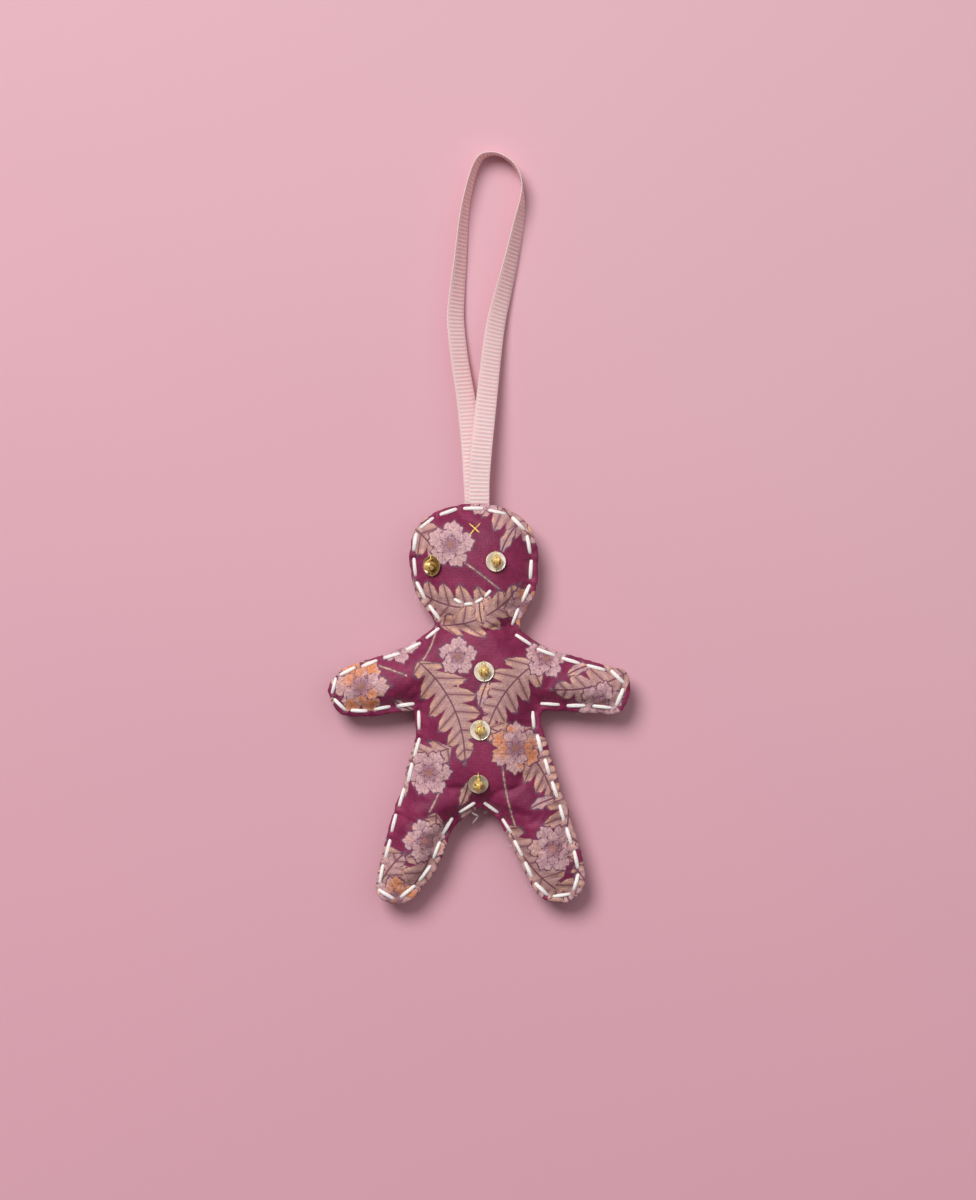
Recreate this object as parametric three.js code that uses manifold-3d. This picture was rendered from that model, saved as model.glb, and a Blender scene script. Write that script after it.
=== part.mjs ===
// Silk gingerbread ornament: a flat stuffed doll of printed silk, shown lying on its back.
// Millimetres. +X is the viewer's right, +Y points to the top of the head and the hanging ribbon,
// +Z comes out of the face. The origin is under the doll's middle, on the surface it lies on.
import * as THREE from 'three';
import { mergeVertices } from 'three/addons/utils/BufferGeometryUtils.js';
import Module from 'manifold-3d';

const wasm = await Module();
wasm.setup();

// Driving sizes of the doll
const DOLL_WIDTH = 85.4;
const DOLL_HEIGHT = 112.8;
const HEAD_WIDTH = 37;
const HEAD_LENGTH = 38.5;
const HEAD_MIDDLE_X = -1.5;
const HEAD_THICKNESS = 14;
const TORSO_WIDTH = 44.8;
const TORSO_TOP_DROP = 32.4;
const TORSO_THICKNESS = 14.5;
const ARM_LENGTH = 40;
const ARM_WIDTH = 15.4;
const ARM_DROP = 52.8;
const ARM_THICKNESS = 11;
const LEG_LENGTH = 38;
const LEG_OVERLAP = 10.4;
const LEG_WIDTH = 18;
const LEG_THICKNESS = 11.5;
const FOOT_SPREAD = 42.6;
const RIGHT_FOOT_RISE = 0.3;

// Cloth, seam and padding
const CLOTH_THICKNESS = 0.5;
const RIM_THICKNESS = 3.2;
const SEAM_BAND_WIDTH = 3.4;
const CLEARANCE = 0.3;
const NEEDLE_CLEARANCE = 0.2;
const FOLD_MARGIN = 0.35;
const PADDING_GAP = 0.38;
const BACK_FLAT_DEPTH = 0.5;

// White embroidery thread
const STITCH_INSET = 1.5;
const SEAM_SHIFT_X = -0.45;
const SEAM_SHIFT_Y = 0.3;
const THREAD_DIAMETER = 0.9;
const STITCH_GAP = 1.6;
const CORNER_PULL_SHARE = 0.4;
const HEAD_STITCHES = 13;
const ARM_STITCHES = 9;
const LEFT_ARM_STITCHES = 10;
const LEG_STITCHES = 14;
const LEFT_LEG_STITCHES = 13;
const SMILE_STITCHES = 4;
const SMILE_GAP = 0.8;
const THREAD_END_DIAMETER = 0.4;

// Sequins, beads and the gold thread that holds them
const SEQUIN_DIAMETER = 5.7;
const SEQUIN_HOLE = 1;
const SEQUIN_THICKNESS = 0.2;
const SEQUIN_CUP_DEPTH = 0.65;
const SEQUIN_FLAT_DIAMETER = 2.6;
const BEAD_DIAMETER = 2.8;
const BEAD_LENGTH = 2.4;
const BEAD_END_DIAMETER = 1.9;
const BEAD_BORE = 1.05;
const GOLD_THREAD_DIAMETER = 0.44;
const GOLD_STITCH_REACH = 3.45;

// Hanging ribbon
const RIBBON_WIDTH = 6;
const RIBBON_THICKNESS = 0.5;
const RIBBON_OUTSIDE_GAP = 0.8;
const RIBBON_INSERTION = 10.5;
const RIBBON_STRAIGHT_INSERTION = 2.9;
const RIBBON_TAIL_RISE = 4.2;
const LOWER_TAIL_X = -1.2;
const UPPER_TAIL_X = -0.2;

// Derived levels and places
const TOP_Y = DOLL_HEIGHT / 2;
const TIP_X = DOLL_WIDTH / 2;
const SEAM_Z = TORSO_THICKNESS / 2 - BACK_FLAT_DEPTH;
const RIM_HALF = RIM_THICKNESS / 2;
const THREAD_RADIUS = THREAD_DIAMETER / 2;
const GOLD_RADIUS = GOLD_THREAD_DIAMETER / 2;
const FOLD_INSET = THREAD_RADIUS + NEEDLE_CLEARANCE + FOLD_MARGIN;
const PADDING_LIFT = CLOTH_THICKNESS + CLEARANCE;
const STRAND_PITCH = RIBBON_THICKNESS + CLEARANCE;
const HINGE_Y = TOP_Y + RIBBON_OUTSIDE_GAP;

// Colours from the photograph
const PLUM = 0x7e2150;
const WHITE_THREAD = 0xefe6e0;
const GOLD = 0xc79a2e;
const PEARL = 0xe9dcc4;
const PINK_RIBBON = 0xebc3bb;
const FIBRE = 0xf2efe8;

// Limb tables. A row is one section across the limb, in shares: how far it lies from the
// limb's tip, its two edges counted from the limb's middle line, and how much padding it carries.
// The edges are shares of half the limb's width, the padding of the swell above the seam.
const HEAD_SHARES = [
  [0, -0.16, 0.18, 0],
  [0.02, -0.36, 0.4, 0],
  [0.055, -0.58, 0.6, 0],
  [0.11, -0.79, 0.76, 0.3],
  [0.2, -0.94, 0.91, 0.72],
  [0.31, -0.99, 0.97, 0.92],
  [0.43, -1, 1, 1],
  [0.55, -0.975, 0.99, 1],
  [0.66, -0.91, 0.95, 0.97],
  [0.76, -0.79, 0.85, 0.92],
  [0.87, -0.6, 0.71, 0.86],
  [1, -0.5, 0.66, 0.78],
];
const TORSO_SHARES = [
  [0, -0.5, 0.5, 0.6],
  [0.1, -0.56, 0.56, 0.84],
  [0.2, -0.75, 0.78, 0.93],
  [0.35, -0.83, 0.82, 1],
  [0.53, -0.81, 0.77, 1],
  [0.64, -0.82, 0.85, 1],
  [0.76, -0.91, 0.93, 0.96],
  [0.87, -0.97, 1.03, 0.8],
  [0.93, -0.94, 0.99, 0.42],
  [0.97, -0.92, 0.95, 0],
  [1, -0.9, 0.92, 0],
];
const LEFT_ARM_SHARES = [
  [0, -0.06, 0.16, 0],
  [0.023, -0.45, 0.5, 0],
  [0.058, -0.72, 0.69, 0],
  [0.108, -0.94, 0.87, 0.3],
  [0.194, -1, 1.06, 0.72],
  [0.318, -0.99, 1.26, 0.92],
  [0.488, -0.83, 1.56, 1],
  [0.635, -0.74, 1.93, 1],
  [0.775, -0.7, 2.5, 0.92],
  [0.85, -0.68, 2.8, 0.86],
  [1, -0.6, 2.2, 0.8],
];
const RIGHT_ARM_SHARES = [
  [0, 0.02, 0.2, 0],
  [0.023, -0.4, 0.69, 0],
  [0.062, -0.76, 0.86, 0],
  [0.124, -0.93, 0.92, 0.3],
  [0.209, -0.88, 1.04, 0.72],
  [0.325, -0.84, 1.21, 0.92],
  [0.48, -0.8, 1.44, 1],
  [0.62, -0.76, 1.71, 1],
  [0.775, -0.72, 2.22, 0.92],
  [0.85, -0.7, 2.5, 0.86],
  [1, -0.6, 2.2, 0.8],
];
// A leg's edges are shares of half its width too, counted from the foot's middle, the outer
// edge first.
const LEFT_LEG_SHARES = [
  [0, 0.34, 0.1, 0],
  [0.03, 0.7, -0.26, 0],
  [0.09, 0.92, -0.52, 0],
  [0.16, 0.91, -0.76, 0.32],
  [0.26, 0.84, -1.08, 0.74],
  [0.38, 0.7, -1.3, 0.96],
  [0.55, 0.54, -1.54, 1],
  [0.64, 0.42, -1.9, 1],
  [0.7, 0.34, -2.26, 1],
  [0.76, 0.28, -2.75, 0.98],
  [1, -0.2, -2.7, 0.86],
];
const RIGHT_LEG_SHARES = [
  [0, 0.36, -0.08, 0],
  [0.025, 0.6, -0.4, 0],
  [0.09, 0.86, -0.68, 0],
  [0.16, 0.97, -0.86, 0.32],
  [0.26, 0.96, -1.06, 0.74],
  [0.37, 0.88, -1.28, 0.96],
  [0.5, 0.72, -1.52, 1],
  [0.62, 0.54, -1.84, 1],
  [0.7, 0.46, -2.16, 1],
  [0.76, 0.4, -2.68, 0.98],
  [1, -0.2, -2.6, 0.86],
];
// Top outline of a section over its padded part: share of the half width, share of the swell
const CROWN_SHARES = [
  [1, 0],
  [0.8, 0.56],
  [0.42, 1],
];
// Ribbon route outside the head, chosen by hand: x, rise above the top of the head, height and
// the turn about the route in degrees. At turn 0 the ribbon lies flat, at 90 it stands on its edge
// with the left side up.
const RIBBON_ROUTE = [
  [-1.2, 1.1, 6.35, 0],
  [-1.5, 6.3, 6.3, 3],
  [-2, 14.4, 5.95, 8],
  [-3.6, 28, 4.9, 27],
  [-5.5, 39.9, 4, 36],
  [-6.7, 50.8, 3.35, 38],
  [-6.3, 59.5, 3.1, 46],
  [-5.4, 68.6, 3.05, 55],
  [-4.5, 79.3, 3.1, 64],
  [-3.4, 86.5, 3.15, 71],
  [-1.5, 93.6, 3.15, 79],
  [0.4, 97.1, 3.15, 86],
  [2.9, 98.2, 3.15, 90],
  [5.8, 97.9, 3.15, 90],
  [9, 95.8, 3.15, 90],
  [11.1, 92.8, 3.15, 90],
  [12, 89.2, 3.15, 88],
  [12, 84.7, 3.15, 76],
  [11.1, 79.3, 3.1, 62],
  [8.9, 68.6, 3.1, 50],
  [6.7, 59.5, 3.3, 40],
  [4.7, 50.8, 3.8, 31],
  [3.4, 41.6, 4.7, 25],
  [1.9, 28, 5.95, 15],
  [0.5, 14.4, 6.9, 5],
  [-0.1, 6.3, 7.1, 0],
  [-0.2, 1.1, 7.15, 0],
];
const RIBBON_STEPS = 54;
// Loose end of the seam's thread at the crotch, chosen by hand: x, drop from the torso's end
// and height
const THREAD_END_ROUTE = [
  [-0.4, -0.7, 4.35],
  [-2.2, 1, 4.3],
  [-0.6, 2.5, 3.9],
  [-0.7, 3.4, 2.4],
  [-1.8, 4.8, 0.4],
];
// Smile seam, chosen by hand: x and drop from the top of the head
const SMILE_ROUTE = [
  [-7.3, 26.8],
  [-5, 28.2],
  [-3.2, 28.6],
  [-1.3, 28.2],
  [1.5, 26.5],
  [3.4, 24.3],
];
// Ends of the two strokes of the gold cross stitch: x and drop from the top of the head
const CROSS_STROKES = [
  [[-2.7, 9.2], [0.2, 6]],
  [[-2.6, 6.2], [-0.1, 8.5]],
];
// Eyes: name, x and drop from the top of the head
const EYE_PLACES = [
  ['left_eye', -12.7, 17.8],
  ['right_eye', 4.4, 16.7],
];
// Buttons: name, shares of half the torso's width and of its length
const BUTTON_SHARES = [
  ['upper_button', 0.058, 0.28],
  ['middle_button', 0.009, 0.587],
  ['lower_button', -0.013, 0.864],
];
const THREAD_SIDES = 5;
const BEAD_SIDES = 10;
const SEQUIN_SIDES = 12;
const RUN_SAMPLES = 8;

function material(color, roughness, metalness) {
  return new THREE.MeshStandardMaterial({ color, roughness, metalness });
}

const SILK = () => material(PLUM, 0.45, 0);
const WHITE_COTTON = () => material(WHITE_THREAD, 0.7, 0);
const GOLD_THREAD = () => material(GOLD, 0.35, 0.8);
const GOLD_GLASS = () => material(GOLD, 0.2, 0.9);
const SEQUIN_FILM = () => material(PEARL, 0.15, 0.6);
const GROSGRAIN = () => material(PINK_RIBBON, 0.6, 0);
const FIBREFILL = () => material(FIBRE, 0.95, 0);

// Merges a geometry's corners and turns its faces outward.
function closed(geometry) {
  geometry.deleteAttribute('normal');
  geometry.deleteAttribute('uv');
  const merged = mergeVertices(geometry);
  const place = merged.getAttribute('position');
  const index = merged.getIndex().array;
  const corners = [new THREE.Vector3(), new THREE.Vector3(), new THREE.Vector3()];
  const kept = [];
  let volume = 0;
  for (let i = 0; i < index.length; i += 3) {
    const [a, b, c] = [index[i], index[i + 1], index[i + 2]];
    if (a === b || b === c || c === a) continue;
    kept.push(a, b, c);
    corners.forEach((corner, k) => corner.fromBufferAttribute(place, index[i + k]));
    volume += corners[0].dot(corners[1].clone().cross(corners[2]));
  }
  if (volume < 0) kept.reverse();
  merged.setIndex(kept);
  return merged;
}

function toSolid(geometry) {
  const whole = closed(geometry);
  const vertProperties = new Float32Array(whole.getAttribute('position').array);
  const triVerts = new Uint32Array(whole.getIndex().array);
  return new wasm.Manifold(new wasm.Mesh({ numProp: 3, vertProperties, triVerts }));
}

function toGeometry(solid) {
  const mesh = solid.getMesh();
  const places = new Float32Array(mesh.vertProperties);
  const geometry = new THREE.BufferGeometry();
  geometry.setAttribute('position', new THREE.BufferAttribute(places, 3));
  geometry.setIndex([...mesh.triVerts]);
  geometry.computeVertexNormals();
  return geometry;
}

const joined = (solids) => solids.reduce((sum, next) => sum.add(next));

function box(low, high) {
  const size = high.map((value, k) => value - low[k]);
  const middle = high.map((value, k) => (value + low[k]) / 2);
  return toSolid(new THREE.BoxGeometry(...size).translate(...middle));
}

// Joins rings of equal count into one closed skin, each end shut by a fan.
function skinOfRings(rings) {
  const count = rings[0].length;
  const positions = rings.flat().flatMap((point) => [point.x, point.y, point.z]);
  const index = [];
  for (let i = 0; i + 1 < rings.length; i += 1) {
    for (let k = 0; k < count; k += 1) {
      const a = i * count + k;
      const b = i * count + ((k + 1) % count);
      index.push(a, b, b + count, a, b + count, a + count);
    }
  }
  const last = (rings.length - 1) * count;
  for (let k = 1; k + 1 < count; k += 1) {
    index.push(0, k + 1, k, last, last + k, last + k + 1);
  }
  const geometry = new THREE.BufferGeometry();
  geometry.setAttribute('position', new THREE.Float32BufferAttribute(positions, 3));
  geometry.setIndex(index);
  return geometry;
}

// A limb in real sizes: tip, root, and the edges and swell of each section
function limb({ axis, tip, root, middle, width, side, thickness, shares }) {
  const sections = shares.map(([along, first, second, swell]) => {
    const edges = [first, second].map((share) => middle + side * share * (width / 2));
    return {
      at: tip + along * (root - tip),
      low: Math.min(...edges),
      high: Math.max(...edges),
      swell: swell * (thickness / 2 - RIM_HALF),
    };
  });
  return { axis, tip, root, sections };
}

const torsoTop = TOP_Y - TORSO_TOP_DROP;
const torsoEnd = LEG_LENGTH - LEG_OVERLAP - TOP_Y;
const armY = TOP_Y - ARM_DROP;
const footX = FOOT_SPREAD / 2;
const limbs = {
  torso: limb({
    axis: 'y',
    tip: torsoTop,
    root: torsoEnd,
    middle: 0,
    width: TORSO_WIDTH,
    side: 1,
    thickness: TORSO_THICKNESS,
    shares: TORSO_SHARES,
  }),
  head: limb({
    axis: 'y',
    tip: TOP_Y,
    root: TOP_Y - HEAD_LENGTH,
    middle: HEAD_MIDDLE_X,
    width: HEAD_WIDTH,
    side: 1,
    thickness: HEAD_THICKNESS,
    shares: HEAD_SHARES,
  }),
  left_leg: limb({
    axis: 'y',
    tip: -TOP_Y,
    root: LEG_LENGTH - TOP_Y,
    middle: -footX,
    width: LEG_WIDTH,
    side: -1,
    thickness: LEG_THICKNESS,
    shares: LEFT_LEG_SHARES,
  }),
  right_leg: limb({
    axis: 'y',
    tip: RIGHT_FOOT_RISE - TOP_Y,
    root: LEG_LENGTH - TOP_Y,
    middle: footX,
    width: LEG_WIDTH,
    side: 1,
    thickness: LEG_THICKNESS,
    shares: RIGHT_LEG_SHARES,
  }),
  left_arm: limb({
    axis: 'x',
    tip: -TIP_X,
    root: ARM_LENGTH - TIP_X,
    middle: armY,
    width: ARM_WIDTH,
    side: 1,
    thickness: ARM_THICKNESS,
    shares: LEFT_ARM_SHARES,
  }),
  right_arm: limb({
    axis: 'x',
    tip: TIP_X,
    root: TIP_X - ARM_LENGTH,
    middle: armY,
    width: ARM_WIDTH,
    side: 1,
    thickness: ARM_THICKNESS,
    shares: RIGHT_ARM_SHARES,
  }),
};

// One section as a ring: a flat band at each edge and the swell between them.
// across draws the edges in, and lift draws the faces in.
function sectionRing(axis, at, section, across, lift) {
  const half = (section.high - section.low) / 2;
  const centre = (section.high + section.low) / 2;
  const padded = Math.max(half - SEAM_BAND_WIDTH, half / 3);
  const edge = Math.max(half - across, padded / 2);
  const body = Math.min(Math.max(padded - lift, padded / 3), edge);
  const rim = RIM_HALF - lift;
  const top = CROWN_SHARES.map(([reach, rise]) => [body * reach, rim + section.swell * rise]);
  const right = [[edge, rim], ...top];
  const upper = [...right, ...right.map(([u, v]) => [-u, v]).reverse()];
  const outline = [...upper, ...upper.map(([u, v]) => [u, -v]).reverse()];
  return outline.map(([u, v]) => (
    axis === 'y'
      ? new THREE.Vector3(centre + u, at, SEAM_Z + v)
      : new THREE.Vector3(at, centre + u, SEAM_Z + v)
  ));
}

// A limb as a closed solid, drawn in from the tip and the sides. grow lengthens its root.
function limbSolid({ axis, tip, root, sections }, across, lift, grow = 0) {
  const direction = Math.sign(root - tip);
  const start = tip + direction * across;
  const end = root + direction * grow;
  const rings = sections.map((section) => {
    const at = start + ((section.at - tip) / (root - tip)) * (end - start);
    return sectionRing(axis, at, section, across, lift);
  });
  return toSolid(skinOfRings(rings));
}

const FAR = DOLL_WIDTH + DOLL_HEIGHT;
const above = (level) => box([-FAR, -FAR, level], [FAR, FAR, FAR]);
const below = (level) => box([-FAR, -FAR, -FAR], [FAR, FAR, level]);

// The whole doll drawn in by one distance, cut flat where it lies on its back
function dollSolid(inset) {
  const solids = Object.values(limbs).map((each) => (
    limbSolid(each, inset, inset, each === limbs.torso ? -inset : 0)
  ));
  return joined(solids).intersect(above(inset));
}

// A limb's outline from one side of its root round the tip to the other, in plan
function outlineOf({ axis, sections }, fromLow) {
  const first = sections.map(({ at, low, high }) => [at, fromLow ? low : high]).reverse();
  const second = sections.map(({ at, low, high }) => [at, fromLow ? high : low]);
  return [...first, ...second].map(([at, edge]) => (
    axis === 'y' ? new THREE.Vector2(edge, at) : new THREE.Vector2(at, edge)
  ));
}

function sideOf({ sections }, key, downward) {
  const points = sections.map((section) => new THREE.Vector2(section[key], section.at));
  return downward ? points : points.reverse();
}

// Moves a path to its right by the inset, so that a clockwise outline shrinks.
function insetPath(points, inset, looped) {
  const count = points.length;
  return points.map((point, i) => {
    const before = looped ? points[(i + count - 1) % count] : points[Math.max(i - 1, 0)];
    const after = looped ? points[(i + 1) % count] : points[Math.min(i + 1, count - 1)];
    const arriving = point.clone().sub(before).normalize();
    const leaving = after.clone().sub(point).normalize();
    const along = arriving.add(leaving);
    const reach = inset / Math.max(along.length() / 2, 1 / 2);
    along.normalize();
    return new THREE.Vector2(point.x + along.y * reach, point.y - along.x * reach);
  });
}

// Lengthens both ends of a path, so that neighbouring paths always cross.
function lengthened(points, more) {
  const end = (tip, next) => tip.clone().add(tip.clone().sub(next).setLength(more));
  return [end(points[0], points[1]), ...points, end(points.at(-1), points.at(-2))];
}

// The place where path a first meets path b, with the steps that meet there. Paths that run
// past each other meet halfway between their nearest points.
function meeting(a, b) {
  for (let i = 0; i + 1 < a.length; i += 1) {
    for (let k = b.length - 2; k >= 0; k -= 1) {
      const r = a[i + 1].clone().sub(a[i]);
      const s = b[k + 1].clone().sub(b[k]);
      const gap = b[k].clone().sub(a[i]);
      const turn = r.cross(s);
      const t = gap.cross(s) / turn;
      const u = gap.cross(r) / turn;
      if (t >= 0 && t <= 1 && u >= 0 && u <= 1) {
        return { point: a[i].clone().addScaledVector(r, t), endStep: i, startStep: k };
      }
    }
  }
  const pairs = a.slice(1).flatMap((start, i) => b.slice(1).map((end, k) => {
    const point = start.clone().lerp(end, 1 / 2);
    return { point, apart: start.distanceTo(end), endStep: i, startStep: k };
  }));
  return pairs.reduce((nearest, pair) => (pair.apart < nearest.apart ? pair : nearest));
}

// Outlines in clockwise order, from the left side of the neck
const outlines = [
  outlineOf(limbs.head, true),
  outlineOf(limbs.right_arm, false),
  sideOf(limbs.torso, 'high', true),
  outlineOf(limbs.right_leg, false),
  outlineOf(limbs.left_leg, false),
  sideOf(limbs.torso, 'low', false),
  outlineOf(limbs.left_arm, true),
].map((outline) => lengthened(outline, HEAD_WIDTH / 2));

// The seam's running stitch follows these outlines, drawn in, from corner to corner.
const seamPaths = outlines.map((outline) => insetPath(outline, STITCH_INSET, false));

// A corner of the seam lies between the outlines' own corner and that of the drawn-in paths.
function seamCorner(i) {
  const next = (i + 1) % outlines.length;
  const inner = meeting(lastHalf(seamPaths[i]), firstHalf(seamPaths[next]));
  const outer = meeting(lastHalf(outlines[i]), firstHalf(outlines[next]));
  const endStep = inner.endStep + halfOf(seamPaths[i]);
  return { ...inner, endStep, point: inner.point.clone().lerp(outer.point, CORNER_PULL_SHARE) };
}

const halfOf = (path) => Math.floor(path.length / 2);
const lastHalf = (path) => path.slice(halfOf(path));
const firstHalf = (path) => path.slice(0, halfOf(path) + 1);
const corners = outlines.map((outline, i) => seamCorner(i));

const seamParts = seamPaths.map((path, i) => {
  const start = corners[(i + outlines.length - 1) % outlines.length];
  return [start.point, ...path.slice(start.startStep + 1, corners[i].endStep + 1), corners[i].point]
    .map((point) => new THREE.Vector2(point.x + SEAM_SHIFT_X, point.y + SEAM_SHIFT_Y));
});
const seamLoop = seamParts.flatMap((part) => part.slice(1));

// Splits a path into even stitches and gives the two needle places of each.
function stitchesAlong(path, count, gap) {
  const curve = new THREE.CurvePath();
  path.slice(1).forEach((point, i) => curve.add(new THREE.LineCurve(path[i], point)));
  const length = curve.getLength();
  const reach = (length / count - gap) / 2;
  return Array.from({ length: count }, (_, i) => {
    const middle = (i + 1 / 2) * (length / count);
    return [-reach, reach].map((side) => curve.getPointAt((middle + side) / length));
  });
}

// The thread starts and ends at the crotch.
const seamStitches = [
  [[...seamParts[4], ...seamParts[5].slice(1)], LEFT_LEG_STITCHES],
  [seamParts[6], LEFT_ARM_STITCHES],
  [seamParts[0], HEAD_STITCHES],
  [seamParts[1], ARM_STITCHES],
  [[...seamParts[2], ...seamParts[3].slice(1)], LEG_STITCHES],
].flatMap(([path, count]) => stitchesAlong(path, count, STITCH_GAP + THREAD_DIAMETER));

// A prism over the area inside the seam's thread, drawn in by the inset
function insideSeam(inset) {
  const shape = new THREE.Shape(insetPath(seamLoop, inset, true));
  const geometry = new THREE.ExtrudeGeometry(shape, { depth: FAR, bevelEnabled: false });
  return toSolid(geometry.translate(0, 0, -FAR / 2));
}

const outerForm = dollSolid(0);
const hollow = dollSolid(CLOTH_THICKNESS).intersect(insideSeam(FOLD_INSET));
const outerMesh = new THREE.Mesh(toGeometry(outerForm), new THREE.MeshBasicMaterial());
const hollowMesh = new THREE.Mesh(toGeometry(hollow), new THREE.MeshBasicMaterial());

// Height of a form's surface at a place, met from in front or from behind
function heightOf(mesh, x, y, side) {
  const from = new THREE.Vector3(x, y, side * FAR);
  const ray = new THREE.Raycaster(from, new THREE.Vector3(0, 0, -side));
  const [hit] = ray.intersectObject(mesh);
  return hit ? hit.point.z : SEAM_Z;
}

// A straight run of thread from a to b that keeps clear of a form. side tells on which side of the
// form's surface it lies, and face which surface it follows.
function runAlong(a, b, radius, side, mesh, face) {
  const reach = radius + CLEARANCE;
  const along = b.clone().sub(a);
  const margin = reach / along.length();
  const sideways = new THREE.Vector2(-along.y, along.x).setLength(reach);
  const needed = (share) => Math.max(...[-1, -2 / 3, 0, 2 / 3, 1].map((offset) => {
    const place = a.clone().addScaledVector(along, share).addScaledVector(sideways, offset);
    const height = side * heightOf(mesh, place.x, place.y, face);
    return height + reach * Math.sqrt(1 - offset * offset);
  }));
  const [start, end] = [needed(0), needed(1)];
  const lifts = Array.from({ length: RUN_SAMPLES + 1 }, (_, i) => {
    const share = (i / RUN_SAMPLES) * (1 + 2 * margin) - margin;
    return needed(share) - (start + (end - start) * share);
  });
  const lift = Math.max(0, ...lifts);
  return [
    new THREE.Vector3(a.x, a.y, side * (start + lift)),
    new THREE.Vector3(b.x, b.y, side * (end + lift)),
  ];
}

// A tube along points with mitred corners. radii gives its radius at each point.
function tube(points, radii, sides) {
  const steps = points.slice(1).map((point, i) => point.clone().sub(points[i]).normalize());
  const upright = Math.abs(steps[0].z) > 1 / 2;
  const helper = upright ? new THREE.Vector3(0, 1, 0) : new THREE.Vector3(0, 0, 1);
  const across = helper.clone().cross(steps[0]).normalize();
  let ring = Array.from({ length: sides }, (_, k) => {
    const spoke = across.clone().applyAxisAngle(steps[0], ((k + 1 / 2) / sides) * 2 * Math.PI);
    return points[0].clone().addScaledVector(spoke, radii[0]);
  });
  const rings = [ring];
  for (let i = 1; i < points.length; i += 1) {
    const arriving = steps[i - 1];
    const leaving = steps[Math.min(i, steps.length - 1)];
    const mitre = arriving.clone().add(leaving).normalize();
    ring = ring.map((corner) => {
      const way = mitre.dot(points[i].clone().sub(corner)) / mitre.dot(arriving);
      const met = corner.clone().addScaledVector(arriving, way);
      return met.sub(points[i]).multiplyScalar(radii[i] / radii[i - 1]).add(points[i]);
    });
    rings.push(ring);
  }
  return skinOfRings(rings);
}

const evenTube = (points, radius) => tube(points, points.map(() => radius), THREAD_SIDES);

// A needle hole as an upright square prism, turned to lie along the thread
function needleHole(place, direction, radius, low, high) {
  const side = 2 * (radius + NEEDLE_CLEARANCE);
  const geometry = new THREE.BoxGeometry(side, side, high - low).rotateZ(direction.angle());
  return toSolid(geometry.translate(place.x, place.y, (high + low) / 2));
}

// Seam thread: over each stitch in front, through both cloths, and on along the back
function seamThread() {
  const points = [];
  seamStitches.forEach(([a, b], i) => {
    const [front, frontEnd] = runAlong(a, b, THREAD_RADIUS, 1, outerMesh, 1);
    points.push(front, frontEnd);
    if (i + 1 < seamStitches.length) {
      points.push(...runAlong(b, seamStitches[i + 1][0], THREAD_RADIUS, -1, outerMesh, -1));
    }
  });
  const [first] = seamStitches[0];
  const last = seamStitches.at(-1)[1];
  const lowest = Math.min(...points.slice(0, 4).map((point) => point.z));
  const start = new THREE.Vector3(first.x, first.y, lowest);
  const end = new THREE.Vector3(last.x, last.y, THREAD_END_ROUTE[0][2]);
  const route = THREAD_END_ROUTE.map(([x, drop, z]) => new THREE.Vector3(x, torsoEnd - drop, z));
  const whole = [start, ...points, end, ...route];
  const radii = whole.map((_, i) => (
    i < whole.length - route.length + 1 ? THREAD_RADIUS : THREAD_END_DIAMETER / 2
  ));
  return tube(whole, radii, THREAD_SIDES);
}

const fromTop = ([x, drop]) => new THREE.Vector2(x, TOP_Y - drop);

// Smile: short stitches that dip through the front cloth only
const smileStitches = stitchesAlong(
  SMILE_ROUTE.map(fromTop),
  SMILE_STITCHES,
  SMILE_GAP + THREAD_DIAMETER,
);
const smileDips = smileStitches.slice(1).map(([start], i) => (
  runAlong(smileStitches[i][1], start, THREAD_RADIUS, -1, hollowMesh, 1)
));

function smileThread() {
  const fronts = smileStitches.map(([a, b]) => runAlong(a, b, THREAD_RADIUS, 1, outerMesh, 1));
  const points = fronts.flatMap((front, i) => [...front, ...(smileDips[i] ?? [])]);
  const first = points[0].clone().setZ(smileDips[0][0].z);
  const last = points.at(-1).clone().setZ(smileDips.at(-1)[1].z);
  return evenTube([first, ...points, last], THREAD_RADIUS);
}

// Ribbon tails inside the head: straight through the seam, then up behind the face
const tailBend = TOP_Y - RIBBON_STRAIGHT_INSERTION;
const tailEnd = TOP_Y - RIBBON_INSERTION;
const tailSlope = RIBBON_TAIL_RISE / (tailBend - tailEnd);
const tailHeight = (y, offset) => SEAM_Z + offset + Math.max(0, tailBend - y) * tailSlope;

// A flat band along centres, each with its turn about the route in degrees
function ribbonBand(centres, turns) {
  const rings = centres.map((centre, i) => {
    const before = centres[Math.max(i - 1, 0)];
    const after = centres[Math.min(i + 1, centres.length - 1)];
    const along = after.clone().sub(before).normalize();
    const turn = THREE.MathUtils.degToRad(turns[i]);
    const wide = new THREE.Vector3(Math.cos(turn), 0, -Math.sin(turn));
    wide.addScaledVector(along, -wide.dot(along)).normalize();
    const thick = wide.clone().cross(along);
    return [[-1, -1], [1, -1], [1, 1], [-1, 1]].map(([u, v]) => centre.clone()
      .addScaledVector(wide, (u * RIBBON_WIDTH) / 2)
      .addScaledVector(thick, (v * RIBBON_THICKNESS) / 2));
  });
  return skinOfRings(rings);
}

function ribbonTail(x, offset) {
  const centres = [HINGE_Y - CLEARANCE, tailBend, tailEnd].map((y) => (
    new THREE.Vector3(x, y, tailHeight(y, offset))
  ));
  return toSolid(ribbonBand(centres, centres.map(() => 0)));
}

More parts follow.
